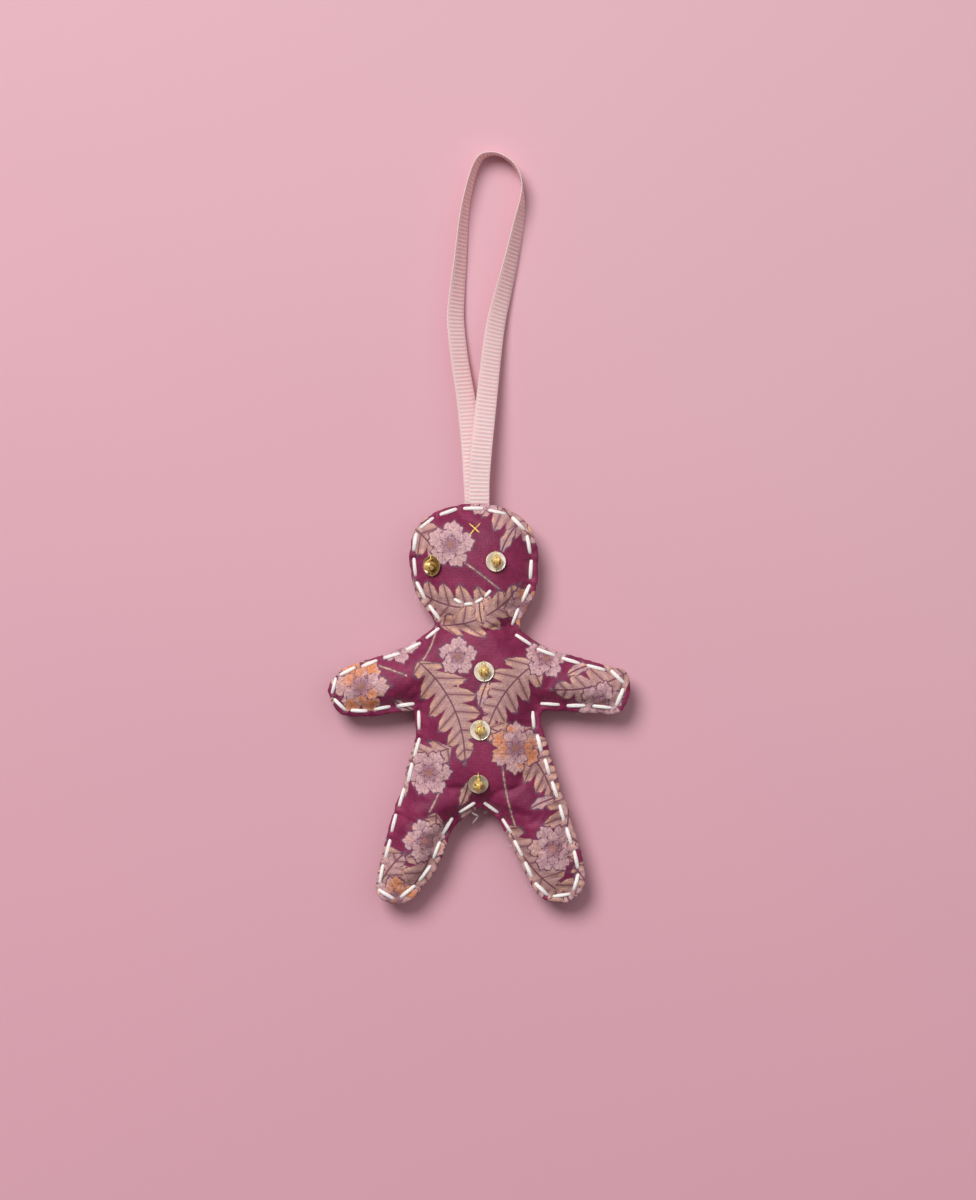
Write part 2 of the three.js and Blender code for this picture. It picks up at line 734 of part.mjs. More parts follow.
function hangingLoop() {
  const places = RIBBON_ROUTE.map(([x, rise, z]) => new THREE.Vector3(x, TOP_Y + rise, z));
  const centres = new THREE.CatmullRomCurve3(places).getPoints(RIBBON_STEPS);
  const turns = centres.map((_, i) => {
    const place = (i / RIBBON_STEPS) * (RIBBON_ROUTE.length - 1);
    const low = Math.min(Math.floor(place), RIBBON_ROUTE.length - 2);
    return THREE.MathUtils.lerp(RIBBON_ROUTE[low][3], RIBBON_ROUTE[low + 1][3], place - low);
  });
  return ribbonBand(centres, turns);
}

// Cross stitch: gold thread through the front cloth and both ribbon tails
const strokes = CROSS_STROKES.map((stroke) => stroke.map(fromTop));
const crossPlaces = strokes.flat();
const crossDepth = RIBBON_THICKNESS + GOLD_RADIUS + CLEARANCE;
const underTails = (place) => (
  new THREE.Vector3(place.x, place.y, tailHeight(place.y, -STRAND_PITCH / 2) - crossDepth)
);

function crossThread() {
  const [first, second] = strokes.map(([a, b]) => runAlong(a, b, GOLD_RADIUS, 1, outerMesh, 1));
  const middle = second[0].clone().lerp(second[1], 1 / 2);
  middle.z += GOLD_THREAD_DIAMETER + CLEARANCE;
  const under = crossPlaces.map(underTails);
  return evenTube(
    [under[0], ...first, under[1], under[2], second[0], middle, second[1], under[3]],
    GOLD_RADIUS,
  );
}

// Each sequin stands on the front cloth, square to it. Its own Z points away from the cloth.
function seatOf(place) {
  const reach = SEQUIN_DIAMETER / 2;
  const height = (dx, dy) => heightOf(outerMesh, place.x + dx, place.y + dy, 1);
  const normal = new THREE.Vector3(
    height(-reach, 0) - height(reach, 0),
    height(0, -reach) - height(0, reach),
    2 * reach,
  ).normalize();
  const upward = new THREE.Vector3(0, 1, 0);
  upward.addScaledVector(normal, -upward.dot(normal)).normalize();
  const frame = new THREE.Matrix4().makeBasis(upward.clone().cross(normal), upward, normal);
  const seat = new THREE.Vector3(place.x, place.y, height(0, 0));
  const circles = [[SEQUIN_FLAT_DIAMETER / 2, 0], [reach, SEQUIN_CUP_DEPTH]];
  const lifts = circles.flatMap(([radius, rise]) => (
    Array.from({ length: SEQUIN_SIDES }, (_, k) => {
      const angle = (k / SEQUIN_SIDES) * 2 * Math.PI;
      const rim = new THREE.Vector3(radius * Math.cos(angle), radius * Math.sin(angle), rise);
      rim.applyMatrix4(frame).add(seat);
      return (heightOf(outerMesh, rim.x, rim.y, 1) - rim.z) * normal.z;
    })
  ));
  seat.addScaledVector(normal, Math.max(0, ...lifts) + CLEARANCE);
  return frame.setPosition(seat);
}

// How deep the gold thread must run under the cloth, below the sequin's seat
function goldDepth(frame) {
  const depths = Array.from({ length: RUN_SAMPLES + 1 }, (_, i) => {
    const share = (2 * i) / RUN_SAMPLES - 1;
    const place = new THREE.Vector3(0, share * GOLD_STITCH_REACH, 0).applyMatrix4(frame);
    return place.z - heightOf(hollowMesh, place.x, place.y, 1);
  });
  return Math.max(...depths) + GOLD_RADIUS + CLEARANCE;
}

const sequinPlaces = [
  ...EYE_PLACES.map(([name, ...place]) => [name, fromTop(place)]),
  ...BUTTON_SHARES.map(([name, across, along]) => [name, new THREE.Vector2(
    across * (TORSO_WIDTH / 2),
    THREE.MathUtils.lerp(torsoTop, torsoEnd, along),
  )]),
];
const seats = sequinPlaces.map(([name, place]) => {
  const frame = seatOf(place);
  return { name, frame, depth: goldDepth(frame) };
});

function sequin() {
  const [hole, flat, rim] = [SEQUIN_HOLE / 2, SEQUIN_FLAT_DIAMETER / 2, SEQUIN_DIAMETER / 2];
  const low = [[hole, 0], [flat, 0], [rim, SEQUIN_CUP_DEPTH]];
  const high = low.map(([radius, rise]) => [radius, rise + SEQUIN_THICKNESS]).reverse();
  const profile = [...low, ...high, low[0]];
  const points = profile.map(([radius, rise]) => new THREE.Vector2(radius, rise));
  return new THREE.LatheGeometry(points, SEQUIN_SIDES).rotateX(Math.PI / 2);
}

const beadRise = SEQUIN_THICKNESS + CLEARANCE + BEAD_DIAMETER / 2;

// A barrel bead, its bore along the sequin's Y
function bead() {
  const [bore, end, belly] = [BEAD_BORE / 2, BEAD_END_DIAMETER / 2, BEAD_DIAMETER / 2];
  const half = BEAD_LENGTH / 2;
  const outside = [[end, -half], [belly, -half / 3], [belly, half / 3], [end, half]];
  const profile = [[bore, -half], ...outside, [bore, half], [bore, -half]];
  const points = profile.map(([radius, at]) => new THREE.Vector2(radius, at));
  return new THREE.LatheGeometry(points, BEAD_SIDES).translate(0, 0, beadRise);
}

// Gold thread: up beside the sequin, through the bead and down on the other side
function goldThread(depth) {
  const shoulder = SEQUIN_CUP_DEPTH + SEQUIN_THICKNESS + GOLD_RADIUS + CLEARANCE;
  const half = BEAD_LENGTH / 2 + GOLD_RADIUS;
  const right = [
    [half, beadRise],
    [GOLD_STITCH_REACH, shoulder],
    [GOLD_STITCH_REACH, -depth],
    [GOLD_THREAD_DIAMETER, -depth],
  ];
  const left = right.map(([y, z]) => [-y, z]).reverse();
  return evenTube([...left, ...right].map(([y, z]) => new THREE.Vector3(0, y, z)), GOLD_RADIUS);
}

const onSeat = (geometry, { frame }) => geometry.applyMatrix4(frame);

// Two needle holes beside the sequin, and the room that the thread takes behind the cloth
function goldHoles(seat) {
  const side = 2 * (GOLD_RADIUS + NEEDLE_CLEARANCE);
  const height = seat.depth + SEQUIN_DIAMETER / 2;
  return [-1, 1].map((way) => toSolid(onSeat(
    new THREE.BoxGeometry(side, side, height).translate(0, way * GOLD_STITCH_REACH, 0),
    seat,
  )));
}

function goldRoom(seat) {
  const side = 2 * (GOLD_RADIUS + CLEARANCE);
  const length = 2 * GOLD_STITCH_REACH + side;
  return toSolid(onSeat(
    new THREE.BoxGeometry(side, length, side + seat.depth).translate(0, 0, -seat.depth / 2),
    seat,
  ));
}

// All needle holes
const along = ([a, b]) => b.clone().sub(a);
const seamHoles = seamStitches.flatMap((stitch) => (
  stitch.map((place) => needleHole(place, along(stitch), THREAD_RADIUS, -CLEARANCE, HEAD_THICKNESS))
));
const smileHoles = smileStitches.flatMap((stitch) => (
  stitch.map((place) => needleHole(place, along(stitch), THREAD_RADIUS, SEAM_Z, HEAD_THICKNESS))
));
const crossHoles = crossPlaces.map((place) => (
  needleHole(place, new THREE.Vector2(0, 1), GOLD_RADIUS, SEAM_Z - crossDepth, HEAD_THICKNESS)
));

// The ribbon's way through the seam, and its pocket in the head's padding
const ribbonLeft = LOWER_TAIL_X - RIBBON_WIDTH / 2 - CLEARANCE;
const ribbonRight = UPPER_TAIL_X + RIBBON_WIDTH / 2 + CLEARANCE;
const mouthHalf = (STRAND_PITCH + RIBBON_THICKNESS) / 2 + CLEARANCE;
const mouth = box(
  [ribbonLeft, TOP_Y - SEAM_BAND_WIDTH, SEAM_Z - mouthHalf],
  [ribbonRight, TOP_Y + RIBBON_OUTSIDE_GAP, SEAM_Z + mouthHalf],
);

function ribbonPocket() {
  const under = (y) => tailHeight(y, -STRAND_PITCH / 2) - crossDepth - GOLD_RADIUS - CLEARANCE;
  const back = tailEnd - CLEARANCE;
  const front = [[TOP_Y, HEAD_THICKNESS], [back, HEAD_THICKNESS]];
  const behind = [back, tailBend, TOP_Y].map((y) => [y, under(y)]);
  const shape = new THREE.Shape([...front, ...behind].map(([y, z]) => new THREE.Vector2(y, z)));
  const depth = ribbonRight - ribbonLeft;
  const geometry = new THREE.ExtrudeGeometry(shape, { depth, bevelEnabled: false });
  // The profile's own X and Y become the part's Y and Z.
  geometry.applyMatrix4(new THREE.Matrix4().makeBasis(
    new THREE.Vector3(0, 1, 0),
    new THREE.Vector3(0, 0, 1),
    new THREE.Vector3(1, 0, 0),
  ));
  return toSolid(geometry.translate(ribbonLeft, 0, 0));
}

// Room for the smile's thread behind the front cloth
const smileEnds = [smileStitches[0][0], smileStitches.at(-1)[1]];
const smileSpace = new THREE.Box3().setFromPoints([
  ...smileDips.flat(),
  ...smileEnds.map((end) => new THREE.Vector3(end.x, end.y, HEAD_THICKNESS)),
]).expandByScalar(THREAD_RADIUS + CLEARANCE);
const smileRoom = box(smileSpace.min.toArray(), smileSpace.max.toArray());

// Cloth
const shell = outerForm.subtract(hollow).subtract(joined([...seamHoles, mouth]));
const frontHoles = joined([...smileHoles, ...crossHoles, ...seats.flatMap(goldHoles)]);
const frontPanel = shell.intersect(above(SEAM_Z + CLEARANCE / 2)).subtract(frontHoles);
const backPanel = shell.intersect(below(SEAM_Z - CLEARANCE / 2));

// Padding, one piece for the torso and one for each limb, cut by the larger ones
const paddingArea = insideSeam(FOLD_INSET + CLEARANCE).intersect(above(PADDING_LIFT));
const padding = (name, grow) => (
  limbSolid(limbs[name], PADDING_LIFT, PADDING_LIFT, grow).intersect(paddingArea)
);
const rooms = joined([ribbonPocket(), smileRoom, ...seats.map(goldRoom)]);
const torsoPadding = padding('torso', -PADDING_LIFT).subtract(rooms);
const roomInset = PADDING_LIFT - PADDING_GAP;
const roomFor = (name) => limbSolid(limbs[name], roomInset, roomInset, PADDING_GAP);
const [torsoRoom, headRoom, leftLegRoom] = ['torso', 'head', 'left_leg'].map(roomFor);
const largest = (solid) => solid.decompose().sort((a, b) => b.volume() - a.volume())[0];
const limbPadding = (name, larger) => (
  largest(padding(name, -CLEARANCE).subtract(joined([torsoRoom, ...larger])))
);
const tailHoles = joined([...seamHoles, ...crossHoles]);
const tail = (x, offset) => toGeometry(ribbonTail(x, offset).subtract(tailHoles));

const nodes = [
  ['front_panel', toGeometry(frontPanel), SILK],
  ['back_panel', toGeometry(backPanel), SILK],
  ['torso_padding', toGeometry(torsoPadding), FIBREFILL],
  ['head_padding', toGeometry(limbPadding('head', [rooms])), FIBREFILL],
  ['left_arm_padding', toGeometry(limbPadding('left_arm', [headRoom])), FIBREFILL],
  ['right_arm_padding', toGeometry(limbPadding('right_arm', [headRoom])), FIBREFILL],
  ['left_leg_padding', toGeometry(limbPadding('left_leg', [])), FIBREFILL],
  ['right_leg_padding', toGeometry(limbPadding('right_leg', [leftLegRoom])), FIBREFILL],
  ['seam_thread', seamThread(), WHITE_COTTON],
  ['smile_thread', smileThread(), WHITE_COTTON],
  ['cross_stitch_thread', crossThread(), GOLD_THREAD],
  ...seats.flatMap((seat) => [
    [`${seat.name}_sequin`, onSeat(sequin(), seat), SEQUIN_FILM],
    [`${seat.name}_bead`, onSeat(bead(), seat), GOLD_GLASS],
    [`${seat.name}_thread`, onSeat(goldThread(seat.depth), seat), GOLD_THREAD],
  ]),
  ['lower_ribbon_tail', tail(LOWER_TAIL_X, -STRAND_PITCH / 2), GROSGRAIN],
  ['upper_ribbon_tail', tail(UPPER_TAIL_X, STRAND_PITCH / 2), GROSGRAIN],
  ['hanging_loop', hangingLoop(), GROSGRAIN],
];

const part = new THREE.Group();
nodes.forEach(([name, geometry, paint]) => {
  const whole = closed(geometry);
  whole.computeVertexNormals();
  const mesh = new THREE.Mesh(whole, paint());
  mesh.name = name;
  part.add(mesh);
});

export default part;
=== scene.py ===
"""Silk gingerbread ornament: a stuffed doll of printed silk with a hanging ribbon, lying on its back.

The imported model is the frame. This script dresses it in cloth, thread, ribbon, sequins and beads.
Lengths in the tables and constants are in millimetres, unless a comment says metres, and become metres
where a mesh is made.
"""

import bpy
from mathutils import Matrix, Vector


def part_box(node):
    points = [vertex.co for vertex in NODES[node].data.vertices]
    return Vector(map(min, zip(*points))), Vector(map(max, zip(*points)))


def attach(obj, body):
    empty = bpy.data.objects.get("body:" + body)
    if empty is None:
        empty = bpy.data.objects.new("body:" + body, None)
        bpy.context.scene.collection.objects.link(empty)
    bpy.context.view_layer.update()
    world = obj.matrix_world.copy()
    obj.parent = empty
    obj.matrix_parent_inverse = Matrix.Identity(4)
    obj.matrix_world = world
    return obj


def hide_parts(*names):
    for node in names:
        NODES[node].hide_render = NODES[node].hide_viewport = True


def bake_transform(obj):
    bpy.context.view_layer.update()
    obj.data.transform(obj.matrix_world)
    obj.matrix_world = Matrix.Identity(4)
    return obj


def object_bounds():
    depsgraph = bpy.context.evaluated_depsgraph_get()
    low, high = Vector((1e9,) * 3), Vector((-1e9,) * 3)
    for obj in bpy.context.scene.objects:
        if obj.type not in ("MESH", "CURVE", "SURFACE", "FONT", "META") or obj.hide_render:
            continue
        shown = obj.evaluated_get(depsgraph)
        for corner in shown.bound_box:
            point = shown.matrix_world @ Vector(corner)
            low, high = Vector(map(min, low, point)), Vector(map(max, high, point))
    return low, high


bl_info = {
    "name": "Silk gingerbread ornament",
    "version": (1, 0, 0),
    "blender": (4, 5, 0),
    "location": "3D Viewport > Sidebar > Ornament",
    "description": "Dresses the packed doll in silk, thread, ribbon, sequins and beads",
    "category": "Object",
}

import math

import bmesh
import bpy
import numpy as np
from mathutils import Matrix, Vector
from mathutils.bvhtree import BVHTree

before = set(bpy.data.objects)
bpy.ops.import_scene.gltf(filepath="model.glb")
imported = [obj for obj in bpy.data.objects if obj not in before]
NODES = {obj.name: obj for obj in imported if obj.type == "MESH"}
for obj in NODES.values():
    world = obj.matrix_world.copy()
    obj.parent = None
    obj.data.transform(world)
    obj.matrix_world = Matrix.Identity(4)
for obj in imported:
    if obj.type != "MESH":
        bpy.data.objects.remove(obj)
CAD_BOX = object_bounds()
MM = 0.001
SEED = 7

# The seam's height, half the thickness of the rim beside it, and how far the stitches are drawn in
SEAM_Z = (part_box("front_panel")[0].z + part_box("back_panel")[1].z) / 2 / MM
RIM_HALF = 1.6
STITCH_INSET = 0.55
# The grid that reads the panels' heights, and the wadding's voxels
MAP_PITCH = 0.3
WADDING_VOXEL = 0.9
# The cloth swells at ten times life size, where the solver is steady. Its voxels and the furthest that a
# point moves are in millimetres at that size.
SWELL_SCALE = 10
SWELL_VOXEL = 8.2
SWELL_LIMIT = 7.0
SWELL_FRAMES = 18
# How far a stitch stands off the cloth in its middle, and goes down into it at its ends
LIFT, DIVE = 0.3, 0.75
BACK_LIFT, BACK_DIVE = 0.22, 0.6
# Turn of the white thread's strands in radians a millimetre, and half a strand's share of its width
FLOSS_TWIST = 0.28
FLOSS_STRAND = 0.24
# The back cloth's print lies this far from the front's
BACK_SHIFT = (6, -9)
# Metres between the ribbon's ribs, and the share of its half width that they cover
RIB_SPACING = 0.0011
RIBBED_SHARE = 0.86
RIBBON_STEPS = 1300
# Places round the ribbon's front: share of its half width, and of its half thickness
RIBBON_SECTION = (
    *((-1.0, 0.35), (-0.94, 0.8), (-0.86, 0.62), (-0.78, 1.0), (-0.5, 1.0), (0.0, 1.0)),
    *((0.5, 1.0), (0.78, 1.0), (0.86, 0.62), (0.94, 0.8), (1.0, 0.35)),
)
# Thickness of a sequin's film, then radius and height of its underside and of half a bead's outside
SEQUIN_FILM = 0.09
SEQUIN_DISH = (
    *((0.5, 0.0), (0.8, 0.01), (1.15, 0.03), (1.45, 0.1), (1.8, 0.27)),
    *((2.15, 0.44), (2.5, 0.6), (2.72, 0.69), (2.83, 0.7)),
)
BEAD_SIDE = ((0.55, -1.25), (0.9, -1.25), (1.15, -1.1), (1.42, -0.7), (1.52, -0.2))
BEAD_BORE = ((0.42, 1.15), (0.42, -1.15))
BEAD_RISE = 1.9
# The cross stitch's strokes, in plan, and the loose end's route
CROSS_STROKES = (((-2.7, 47.2), (0.2, 50.4)), ((-2.6, 50.2), (-0.1, 47.9)))
LOOSE_END = (
    *((-2.6, -28.6, 8.3), (-2.4, -29.9, 7.6), (-1.4, -30.9, 6.6)),
    *((-0.5, -31.4, 5.6), (-1.0, -32.4, 4.6), (-1.9, -33.6, 3.6)),
)
# In metres: the lamp's width, its place and what it faces, the camera's place in plan, half the floor
LAMP_SIZE, LAMP_PLACE, LAMP_AIM = 1.05, (-0.66, 1.0, 1.48), (0, 0.03, 0)
CAMERA_PLAN = (0.0024, 0.0291)
FLOOR_HALF = 3.0
EYES = ("left_eye", "right_eye")
BUTTONS = ("upper_button", "middle_button", "lower_button")
# How far each sequin's film is painted towards dark amber from pearl white: partly the film's own tint,
# partly a painted reflection of the dim room, strongest on the left eye
AMBER_AND_REFLECTION = {"left_eye": 1.0, "right_eye": 0.0, "upper_button": 0.15, "middle_button": 0.1, "lower_button": 0.5}
PADDINGS = ("torso", "head", "left_arm", "right_arm", "left_leg", "right_leg")

# Settings that many nodes share
COLOURS = {"data_type": "RGBA"}
SMOOTH = {"interpolation_type": "SMOOTHSTEP"}
ADD, SUBTRACT, MULTIPLY, MULTIPLY_ADD, ABSOLUTE, FRACT = (
    {"operation": name} for name in ("ADD", "SUBTRACT", "MULTIPLY", "MULTIPLY_ADD", "ABSOLUTE", "FRACT")
)
# Values of the print at each place of the cloth, each with its value on bare ground
LEAF_FIELDS = {"edge": 3.0, "across": 9.0, "phase": 0.25, "tone": 0.5}
PETAL_FIELDS = {"edge": 3.0, "line": 9.0, "warmth": 0.5, "heart": 1.0}

# The loop's route as in the part's source, but for the turn at four places round its end: x, y, z and the
# turn about the route in degrees. The first and last two places are the tails behind the face.
RIBBON_ROUTE = [
    [-1.2, 46.1, 10.4, 0],
    [-1.2, 53.3, 6.4, 0],
    [-1.2, 57.5, 6.35, 0],
    [-1.5, 62.7, 6.3, 3],
    [-2, 70.8, 5.95, 8],
    [-3.6, 84.4, 4.9, 27],
    [-5.5, 96.3, 4, 36],
    [-6.7, 107.2, 3.35, 38],
    [-6.3, 115.9, 3.1, 46],
    [-5.4, 125, 3.05, 55],
    [-4.5, 135.7, 3.1, 64],
    [-3.4, 142.9, 3.15, 71],
    [-1.5, 150, 3.15, 74],
    [0.4, 153.5, 3.15, 75],
    [2.9, 154.6, 3.15, 78],
    [5.8, 154.3, 3.15, 84],
    [9, 152.2, 3.15, 90],
    [11.1, 149.2, 3.15, 90],
    [12, 145.6, 3.15, 88],
    [12, 141.1, 3.15, 76],
    [11.1, 135.7, 3.1, 62],
    [8.9, 125, 3.1, 50],
    [6.7, 115.9, 3.3, 40],
    [4.7, 107.2, 3.8, 31],
    [3.4, 98, 4.7, 25],
    [1.9, 84.4, 5.95, 15],
    [0.5, 70.8, 6.9, 5],
    [-0.1, 62.7, 7.1, 0],
    [-0.2, 57.5, 7.15, 0],
    [-0.2, 53.3, 7.2, 0],
    [-0.2, 46.1, 11.2, 0],
]
# Print of the silk. Lobed leaves: x, y, direction in degrees, length, width, lobes, bend, tone
BIG_LEAVES = [
    (-33, 57, -38, 30, 15, 5, 0.10, 0.25),
    (2, 66, -52, 27, 14, 5, -0.12, 0.6),
    (26, 52, -112, 28, 13, 5, 0.1, 0.15),
    (8, 29, 168, 30, 14, 6, 0.16, 0.3),
    (-46, 14, -22, 24, 13, 4, -0.1, 0.7),
    (-11, 22, 28, 26, 12, 5, -0.14, 0.1),
    (46, 12, 196, 28, 14, 5, 0.1, 0.55),
    (-17, 12, -66, 32, 16, 6, 0.12, 0.2),
    (20, 14, -128, 30, 15, 6, -0.12, 0.45),
    (-8, -12, -142, 30, 15, 6, -0.1, 0.75),
    (2, -6, -50, 30, 15, 6, 0.14, 0.15),
    (-31, -36, -52, 27, 15, 5, -0.1, 0.3),
    (-12, -30, -118, 32, 14, 6, 0.14, 0.5),
    (24, -20, -100, 30, 15, 6, 0.1, 0.25),
    (8, -34, -44, 32, 15, 6, -0.12, 0.65),
    (30, -44, -126, 28, 14, 5, 0.12, 0.2),
    (-22, 34, -130, 20, 10, 4, 0.1, 0.8),
    (-24, -4, -100, 24, 12, 5, -0.1, 0.6),
    (-30, -58, 60, 20, 11, 4, 0.1, 0.7),
    (-2, -28, 250, 20, 10, 4, 0.1, 0.85),
    (34, -66, 110, 22, 12, 4, -0.1, 0.8),
    (22, -2, -70, 18, 9, 4, 0.1, 0.9),
]
# Ruffled blossoms: x, y, turn in degrees, radius, petals, warmth of the colour
BLOSSOMS = [
    (-8, 44.5, 10, 6.8, 5, 0.2),
    (13, 27, 40, 6, 5, 0.75),
    (-33, 5, 0, 8, 6, 0.95),
    (34, 0, 20, 6.6, 6, 0.2),
    (-6, 13.5, 15, 5.6, 5, 0.1),
    (10, -12, 30, 7.4, 6, 0.85),
    (-14, -19, 5, 6.6, 6, 0.15),
    (-24, -55, 25, 7.4, 6, 0.9),
    (20.5, -40, 0, 7, 6, 0.3),
    (27, -61, 0, 6.4, 5, 0.8),
    (-23, 17, 50, 6, 6, 0.1),
    (18.5, 13, 12, 6, 5, 0.15),
    (-15, -38, 35, 6.4, 5, 0.3),
    (1, 58, 30, 5.5, 5, 0.2),
]
# Plain leaves and buds: x, y, direction in degrees, length, width, tone
SMALL_LEAVES = [
    (-19, 36, 118, 9, 3.6, 0.9),
    (6, 42, 60, 10, 3.8, 0.85),
    (16, 46, 100, 9, 3.4, 0.3),
    (-40, 2, 210, 8, 3.4, 0.2),
    (24, 8, 20, 9, 3.4, 0.9),
    (0, -1, 70, 10, 3.6, 0.9),
    (-3, -21, 250, 9, 3.6, 0.35),
    (1, 22, 95, 9, 3.4, 0.3),
    (-26, -46, 200, 8, 3.2, 0.9),
    (14, -29, 20, 9, 3.6, 0.9),
    (-18, -2, 150, 8, 3.2, 0.9),
    (23, -52, 300, 8, 3.2, 0.9),
]
# Stems between them: two ends and how far the middle swings aside
STEMS = [
    (-30, 54, 8, 30, 7),
    (8, 30, -11, 22, -3),
    (-12, 22, -16, 12, 3),
    (8, 29, 20, 14, -4),
    (-46, 14, -20, 8, 4),
    (46, 12, 20, 14, -3),
    (-6, 8, -8, -12, 3),
    (2, 12, 2, -6, -3),
    (-8, -12, -14, -30, 4),
    (6, -6, 10, -34, -5),
    (24, -20, 30, -44, 3),
    (-30, -36, -22, -60, -3),
]


def linear(colour):
    """An sRGB hex value such as 0x7E2150 as linear red, green, blue and alpha."""
    parts = [((colour >> shift) & 255) / 255 for shift in (16, 8, 0)]
    return (*[c / 12.92 if c <= 0.04045 else ((c + 0.055) / 1.055) ** 2.4 for c in parts], 1.0)


def add(tree, kind, settings=None, inputs=None):
    """Adds a node with its settings, and links or sets its inputs.

    An input is named, or numbered among those in use. A node given as a value stands for its first output
    in use.
    """
    node = tree.nodes.new(kind)
    for name, value in (settings or {}).items():
        setattr(node, name, value)
    used = [socket for socket in node.inputs if socket.enabled]
    for key, value in (inputs or {}).items():
        socket = used[key] if isinstance(key, int) else node.inputs[key]
        if isinstance(value, bpy.types.Node):
            value = next(output for output in value.outputs if output.enabled)
        if isinstance(value, bpy.types.NodeSocket):
            tree.links.new(value, socket)
        else:
            socket.default_value = value
    return node


def per_metre(size):
    """The scale of a pattern whose cells are that many millimetres wide."""
    return 1 / (size * MM)


def painted(tree, base, layers):
    """Lays colours over a base, each where its value passes from low to high, as strongly as it says."""
    for value, low, high, colour, strength in layers:
        limits = {"Value": value, "From Min": low, "From Max": high, "To Max": strength}
        mask = add(tree, "ShaderNodeMapRange", SMOOTH, limits)
        base = add(tree, "ShaderNodeMix", COLOURS, {0: mask, 1: base, 2: linear(colour)})
    return base


def new_material(name):
    """An empty node material and its Object coordinates."""
    material = bpy.data.materials.new(name)
    material.use_nodes = True
    tree = material.node_tree
    tree.nodes.clear()
    return material, tree, add(tree, "ShaderNodeTexCoord").outputs["Object"]


def finished(material, values):
    """The material with its Principled shader, whose sockets take the values."""
    tree = material.node_tree
    shader = add(tree, "ShaderNodeBsdfPrincipled", {}, values)
    add(tree, "ShaderNodeOutputMaterial", {}, {"Surface": shader})
    return material


def off_middle(tree, value):
    """How far a value's fraction is from a half: half at whole numbers, nothing midway between them."""
    share = add(tree, "ShaderNodeMath", FRACT, {0: value})
    share = add(tree, "ShaderNodeMath", ADD, {0: share, 1: -0.5})
    return add(tree, "ShaderNodeMath", ABSOLUTE, {0: share})


def bled(tree, edge, bleed):
    """A motif's signed distance, wavering by a quarter of a millimetre where the dye has bled."""
    edge = add(tree, "ShaderNodeMath", MULTIPLY_ADD, {0: bleed, 1: 0.5, 2: edge})
    return add(tree, "ShaderNodeMath", ADD, {0: edge, 1: -0.25})


def leaf_paint(tree, field, noise):
    """Tan and mauve leaves: a dark outline, midrib and lobe veins, and fine engraved hatching."""
    edge = bled(tree, field["leaf_edge"], noise["bleed"])
    rib = add(tree, "ShaderNodeMath", ABSOLUTE, {0: field["leaf_across"]})
    lobe = off_middle(tree, field["leaf_phase"])
    # Four engraved lines a lobe
    phase = add(tree, "ShaderNodeMath", MULTIPLY, {0: field["leaf_phase"], 1: 4.0})
    hatch = off_middle(tree, phase)
    layers = (
        (field["leaf_tone"], 0.0, 1.0, 0xBE979E, 1.0),
        (noise["wash"], 0.46, 0.66, 0xDDAA90, 1.0),
        (lobe, 0.32, 0.5, 0xAE7F80, 1.0),
        (edge, -0.4, -2.4, 0xC09690, 1.0),
        (hatch, 0.2, 0.04, 0x8A5F6A, 0.35),
        (lobe, 0.1, 0.02, 0x88585F, 1.0),
        (rib, 0.34, 0.12, 0x794856, 1.0),
        (edge, -0.5, -0.22, 0x70415A, 1.0),
    )
    return painted(tree, linear(0xD3A189), layers), edge


def petal_paint(tree, field, noise):
    """Mauve and orange petals: dark outlines, streaks from the heart and a gold heart."""
    edge = bled(tree, field["petal_edge"], noise["bleed"])
    line = add(tree, "ShaderNodeMath", ABSOLUTE, {0: field["petal_line"]})
    # Streaks 1.1 mm apart
    streak = off_middle(tree, add(tree, "ShaderNodeMath", MULTIPLY, {0: line, 1: 0.9}))
    flush = add(tree, "ShaderNodeMath", ADD, {0: field["petal_warmth"], 1: 0.52})
    flush = add(tree, "ShaderNodeMath", SUBTRACT, {0: flush, 1: noise["wash"]})
    layers = (
        (field["petal_warmth"], 0.35, 0.75, 0xD7A18C, 1.0),
        (noise["wash"], 0.4, 0.62, 0xCEA5A5, 1.0),
        (flush, 0.7, 0.98, 0xDB8B59, 1.0),
        (edge, -1.8, -0.3, 0xDDB6B2, 0.35),
        (field["petal_heart"], 0.5, 0.15, 0xA1737F, 1.0),
        (streak, 0.25, 0.05, 0x84596F, 0.3),
        (line, 0.34, 0.1, 0x8C5B68, 1.0),
        (field["petal_heart"], 0.16, 0.12, 0x9E6A62, 1.0),
        (edge, -0.5, -0.22, 0x70415A, 1.0),
    )
    return painted(tree, linear(0xC2989F), layers), edge


